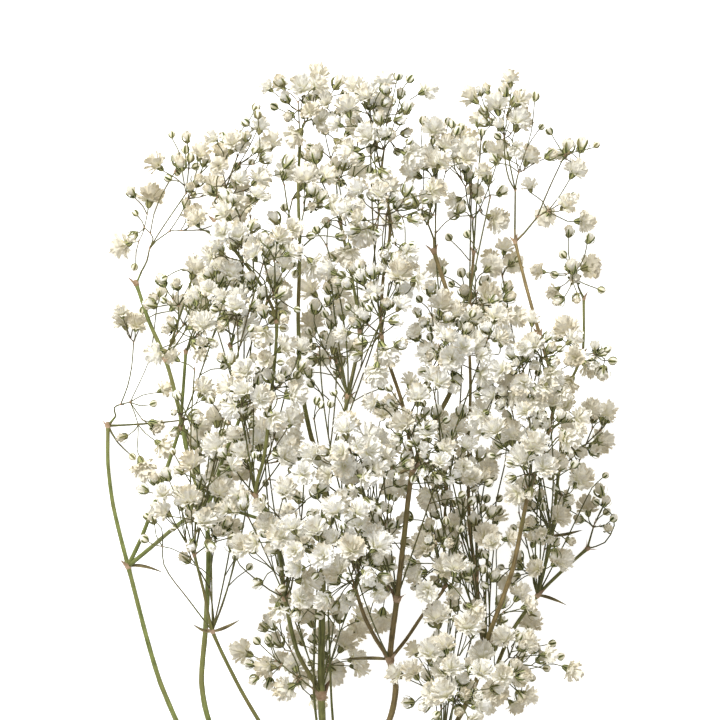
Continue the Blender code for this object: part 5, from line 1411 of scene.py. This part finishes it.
def petal_material():
    """Dry papery petals: cream at their edges, yellower and browner at their roots (their own yellow with
    painted shade inside the head), no two heads alike, with painted shade on lower heads and in wrinkle
    furrows, and a faint painted glow.
    """
    nodes = Nodes("dried_petals")
    place, across, along, number = places_of(nodes)
    chance = nodes.add("TexWhiteNoise", noise_dimensions="1D")
    nodes.link(number, chance.inputs["W"])
    height = nodes.add("SeparateXYZ")
    nodes.link(place, height.inputs[0])
    # Painted shade: lower heads are darker and browner, standing in for the shade of the heads above them;
    # each head's own random tone and a fine mottle are added to it.
    height_shade_and_tint = nodes.value("MULTIPLY_ADD", height.outputs["Z"], 7.5, 0.22)
    height_shade_and_tint = nodes.value("ADD", height_shade_and_tint, nodes.value("MULTIPLY_ADD", chance.outputs["Value"], 0.44, -0.22))
    height_shade_and_tint = nodes.value("ADD", height_shade_and_tint, nodes.value("MULTIPLY_ADD", nodes.noise(place, 90), 0.5, -0.25))
    edge = nodes.ramp(height_shade_and_tint, [
        (0.0, (0.63, 0.58, 0.47)), (0.35, (0.80, 0.76, 0.66)), (0.7, (0.90, 0.885, 0.83)),
        (1.0, (0.93, 0.925, 0.90))])
    # The roots are yellower and darker: the petals' own yellow-green, with painted shade where the petals
    # crowd inside the head.
    root = nodes.mix(0.65, edge, (0.60, 0.57, 0.26))
    colour = nodes.masked(along, 0.1, 0.7, 1, root, edge)
    wrinkled = nodes.add("CombineXYZ")
    nodes.link(nodes.value("MULTIPLY", across, 14.0), wrinkled.inputs["X"])
    nodes.link(nodes.value("MULTIPLY", along, 2.6), wrinkled.inputs["Y"])
    nodes.link(nodes.value("MULTIPLY", number, 7.0), wrinkled.inputs["Z"])
    wrinkles = nodes.noise(wrinkled.outputs[0], 1.0, 3.0, 0.7)
    # Painted shade: darker and browner in the furrows of the wrinkles.
    colour = nodes.mix(
        nodes.ramp(wrinkles, [(0.38, (0.42, 0.42, 0.42)), (0.54, (0, 0, 0))]), colour, (0.68, 0.62, 0.42))
    tips = nodes.value("MULTIPLY", nodes.ramp(along, [(0.6, (0, 0, 0)), (0.95, (1, 1, 1))]), nodes.ramp(
        nodes.noise(place, 150, 1.0), [(0.5, (0, 0, 0)), (0.62, (0.8, 0.8, 0.8))]))
    colour = nodes.mix(tips, colour, (0.56, 0.49, 0.33))
    colour = nodes.masked(nodes.noise(place, 900, 2.0), 0.6, 0.75, 0.3, colour, (0.62, 0.55, 0.38))
    # Painted light: the petals glow faintly with their own colour, lifting their shade.
    nodes.link(colour, nodes.surface.inputs["Emission Color"])
    nodes.surface.inputs["Emission Strength"].default_value = PETAL_GLOW
    return nodes.finish(colour, 0.9, wrinkles, 0.0004)


def stalk_material(name, dark, light, brown):
    """Dry stalks: fine streaks along them and browner patches."""
    nodes = Nodes(name)
    place, across, along, _ = places_of(nodes)
    stretched = nodes.add("CombineXYZ")
    nodes.link(nodes.value("MULTIPLY", across, 9.0), stretched.inputs["X"])
    nodes.link(nodes.value("MULTIPLY", along, 4.0), stretched.inputs["Y"])
    streaks = nodes.noise(stretched.outputs[0], 1.0, 4.0)
    colour = nodes.ramp(streaks, [(0.3, dark), (0.7, light)])
    colour = nodes.masked(nodes.noise(place, 45, 2.0), 0.48, 0.66, 0.8, colour, brown)
    return nodes.finish(colour, 0.62, streaks, 0.00025)


def calyx_material():
    """Green cups with a dark stripe down each of their five sepals and pale dry edges."""
    nodes = Nodes("calyx")
    place, across, _, _ = places_of(nodes)
    colour = nodes.masked(across, 0.25, 0.6, 1, (0.42, 0.43, 0.18), (0.03, 0.042, 0.01))
    colour = nodes.masked(nodes.noise(place, 260), 0.45, 0.7, 0.8, colour, (0.24, 0.20, 0.09))
    return nodes.finish(colour, 0.75, nodes.noise(place, 1200), 0.0002)


def bract_material(name, light, dark):
    """Dry bracts and leaves, mottled and darker to their tips."""
    nodes = Nodes(name)
    place, _, along, _ = places_of(nodes)
    colour = nodes.ramp(nodes.noise(place, 420), [(0.35, dark), (0.65, light)])
    colour = nodes.masked(along, 0.3, 1.0, 0.7, colour, dark)
    return nodes.finish(colour, 0.8, nodes.noise(place, 900), 0.0002)


def floor_material():
    nodes = Nodes("white_table")
    place = nodes.add("TexCoord").outputs["Object"]
    colour = nodes.ramp(nodes.noise(place, 3), [(0.4, (0.93, 0.93, 0.93)), (0.6, (0.95, 0.95, 0.95))])
    nodes.surface.inputs["Emission Color"].default_value = (1, 1, 1, 1)
    nodes.surface.inputs["Emission Strength"].default_value = FLOOR_GLOW
    return nodes.finish(colour, 0.9, nodes.noise(place, 400), 0.00005)


def set_up_view():
    """White table, soft light from above, and a camera that looks straight down at the flowering part."""
    scene = bpy.context.scene
    mesh = bpy.data.meshes.new("table")
    reach = TABLE_REACH
    corners = [(-reach, -reach, 0), (reach, -reach, 0), (reach, reach, 0), (-reach, reach, 0)]
    mesh.from_pydata(corners, [], [(0, 1, 2, 3)])
    mesh.materials.append(floor_material())
    placed("table", mesh)
    scene.world = bpy.data.worlds.new("studio")
    scene.world.use_nodes = True
    sky = scene.world.node_tree.nodes["Background"].inputs
    sky["Color"].default_value = (1, 1, 1, 1)
    sky["Strength"].default_value = WORLD_LIGHT
    lamp = bpy.data.lights.new("key", "AREA")
    lamp.energy = KEY_LIGHT
    lamp.shape = "DISK"
    lamp.size = KEY_SIZE
    lamp = placed("key", lamp)
    lamp.location = KEY_PLACE
    lamp.rotation_euler = KEY_TURN
    camera = bpy.data.cameras.new("camera")
    camera.lens = LENS
    camera.sensor_width = SENSOR
    camera.clip_end = CAMERA_END
    scene.camera = placed("camera", camera)
    scene.camera.location = CAMERA_PLACE
    scene.view_settings.view_transform = "Standard"


def main():
    stems, knots, sprays, twigs = whole_plan()
    petals, calyx = petal_material(), calyx_material()
    bract = bract_material("bracts", (0.50, 0.36, 0.24), (0.23, 0.15, 0.085))
    leaf = bract_material("leaves", (0.29, 0.24, 0.12), (0.10, 0.08, 0.035))
    skins = {
        slot: stalk_material(slot + "_skin", *colours) for slot, colours in {
            "green_stem": ((0.07, 0.085, 0.022), (0.25, 0.28, 0.085), (0.17, 0.155, 0.055)),
            "olive_stem": ((0.06, 0.062, 0.018), (0.23, 0.23, 0.075), (0.17, 0.135, 0.05)),
            "brown_stem": ((0.075, 0.053, 0.02), (0.31, 0.23, 0.10), (0.15, 0.135, 0.045))}.items()}
    thin = stalk_material("twig_skin", (0.045, 0.05, 0.014), (0.16, 0.16, 0.05), (0.11, 0.085, 0.032))
    slots = {entry["node"]: entry["material_slot"] for entry in frame["record"]["subparts"]}
    twig_skins = [thin, calyx, petals, bract]
    for name, routes in stems.items():
        stem_skins = [skins[slots[name]], calyx, petals, bract, leaf]
        dress(stem_piece(name, routes, knots, stem_skins), slots[name], name)
    for name, root in sprays.items():
        dress(spray_piece(name, root, twig_skins), slots[name], name)
    for name, laid in twigs.items():
        dress(fine_piece(name, laid, twig_skins), "dried_bloom")


def whole_plan():
    """The plan of the solids, with the small heads and fine twigs that they leave out."""
    stems, knots, sprays, room = plan()
    settling = random.Random(SEED + 3)
    for root in sprays.values():
        settle(root, settling)
    rng = random.Random(SEED + 2)
    side_heads(sprays, room, rng)
    return stems, knots, sprays, fine_twigs(knots, sprays, room, rng)


def dress(piece, slot, node=None):
    """Puts a piece on the plant's one body, in place of its node where it has one."""
    if node:
        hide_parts(node)
    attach(piece, "root")


set_up_view()
main()
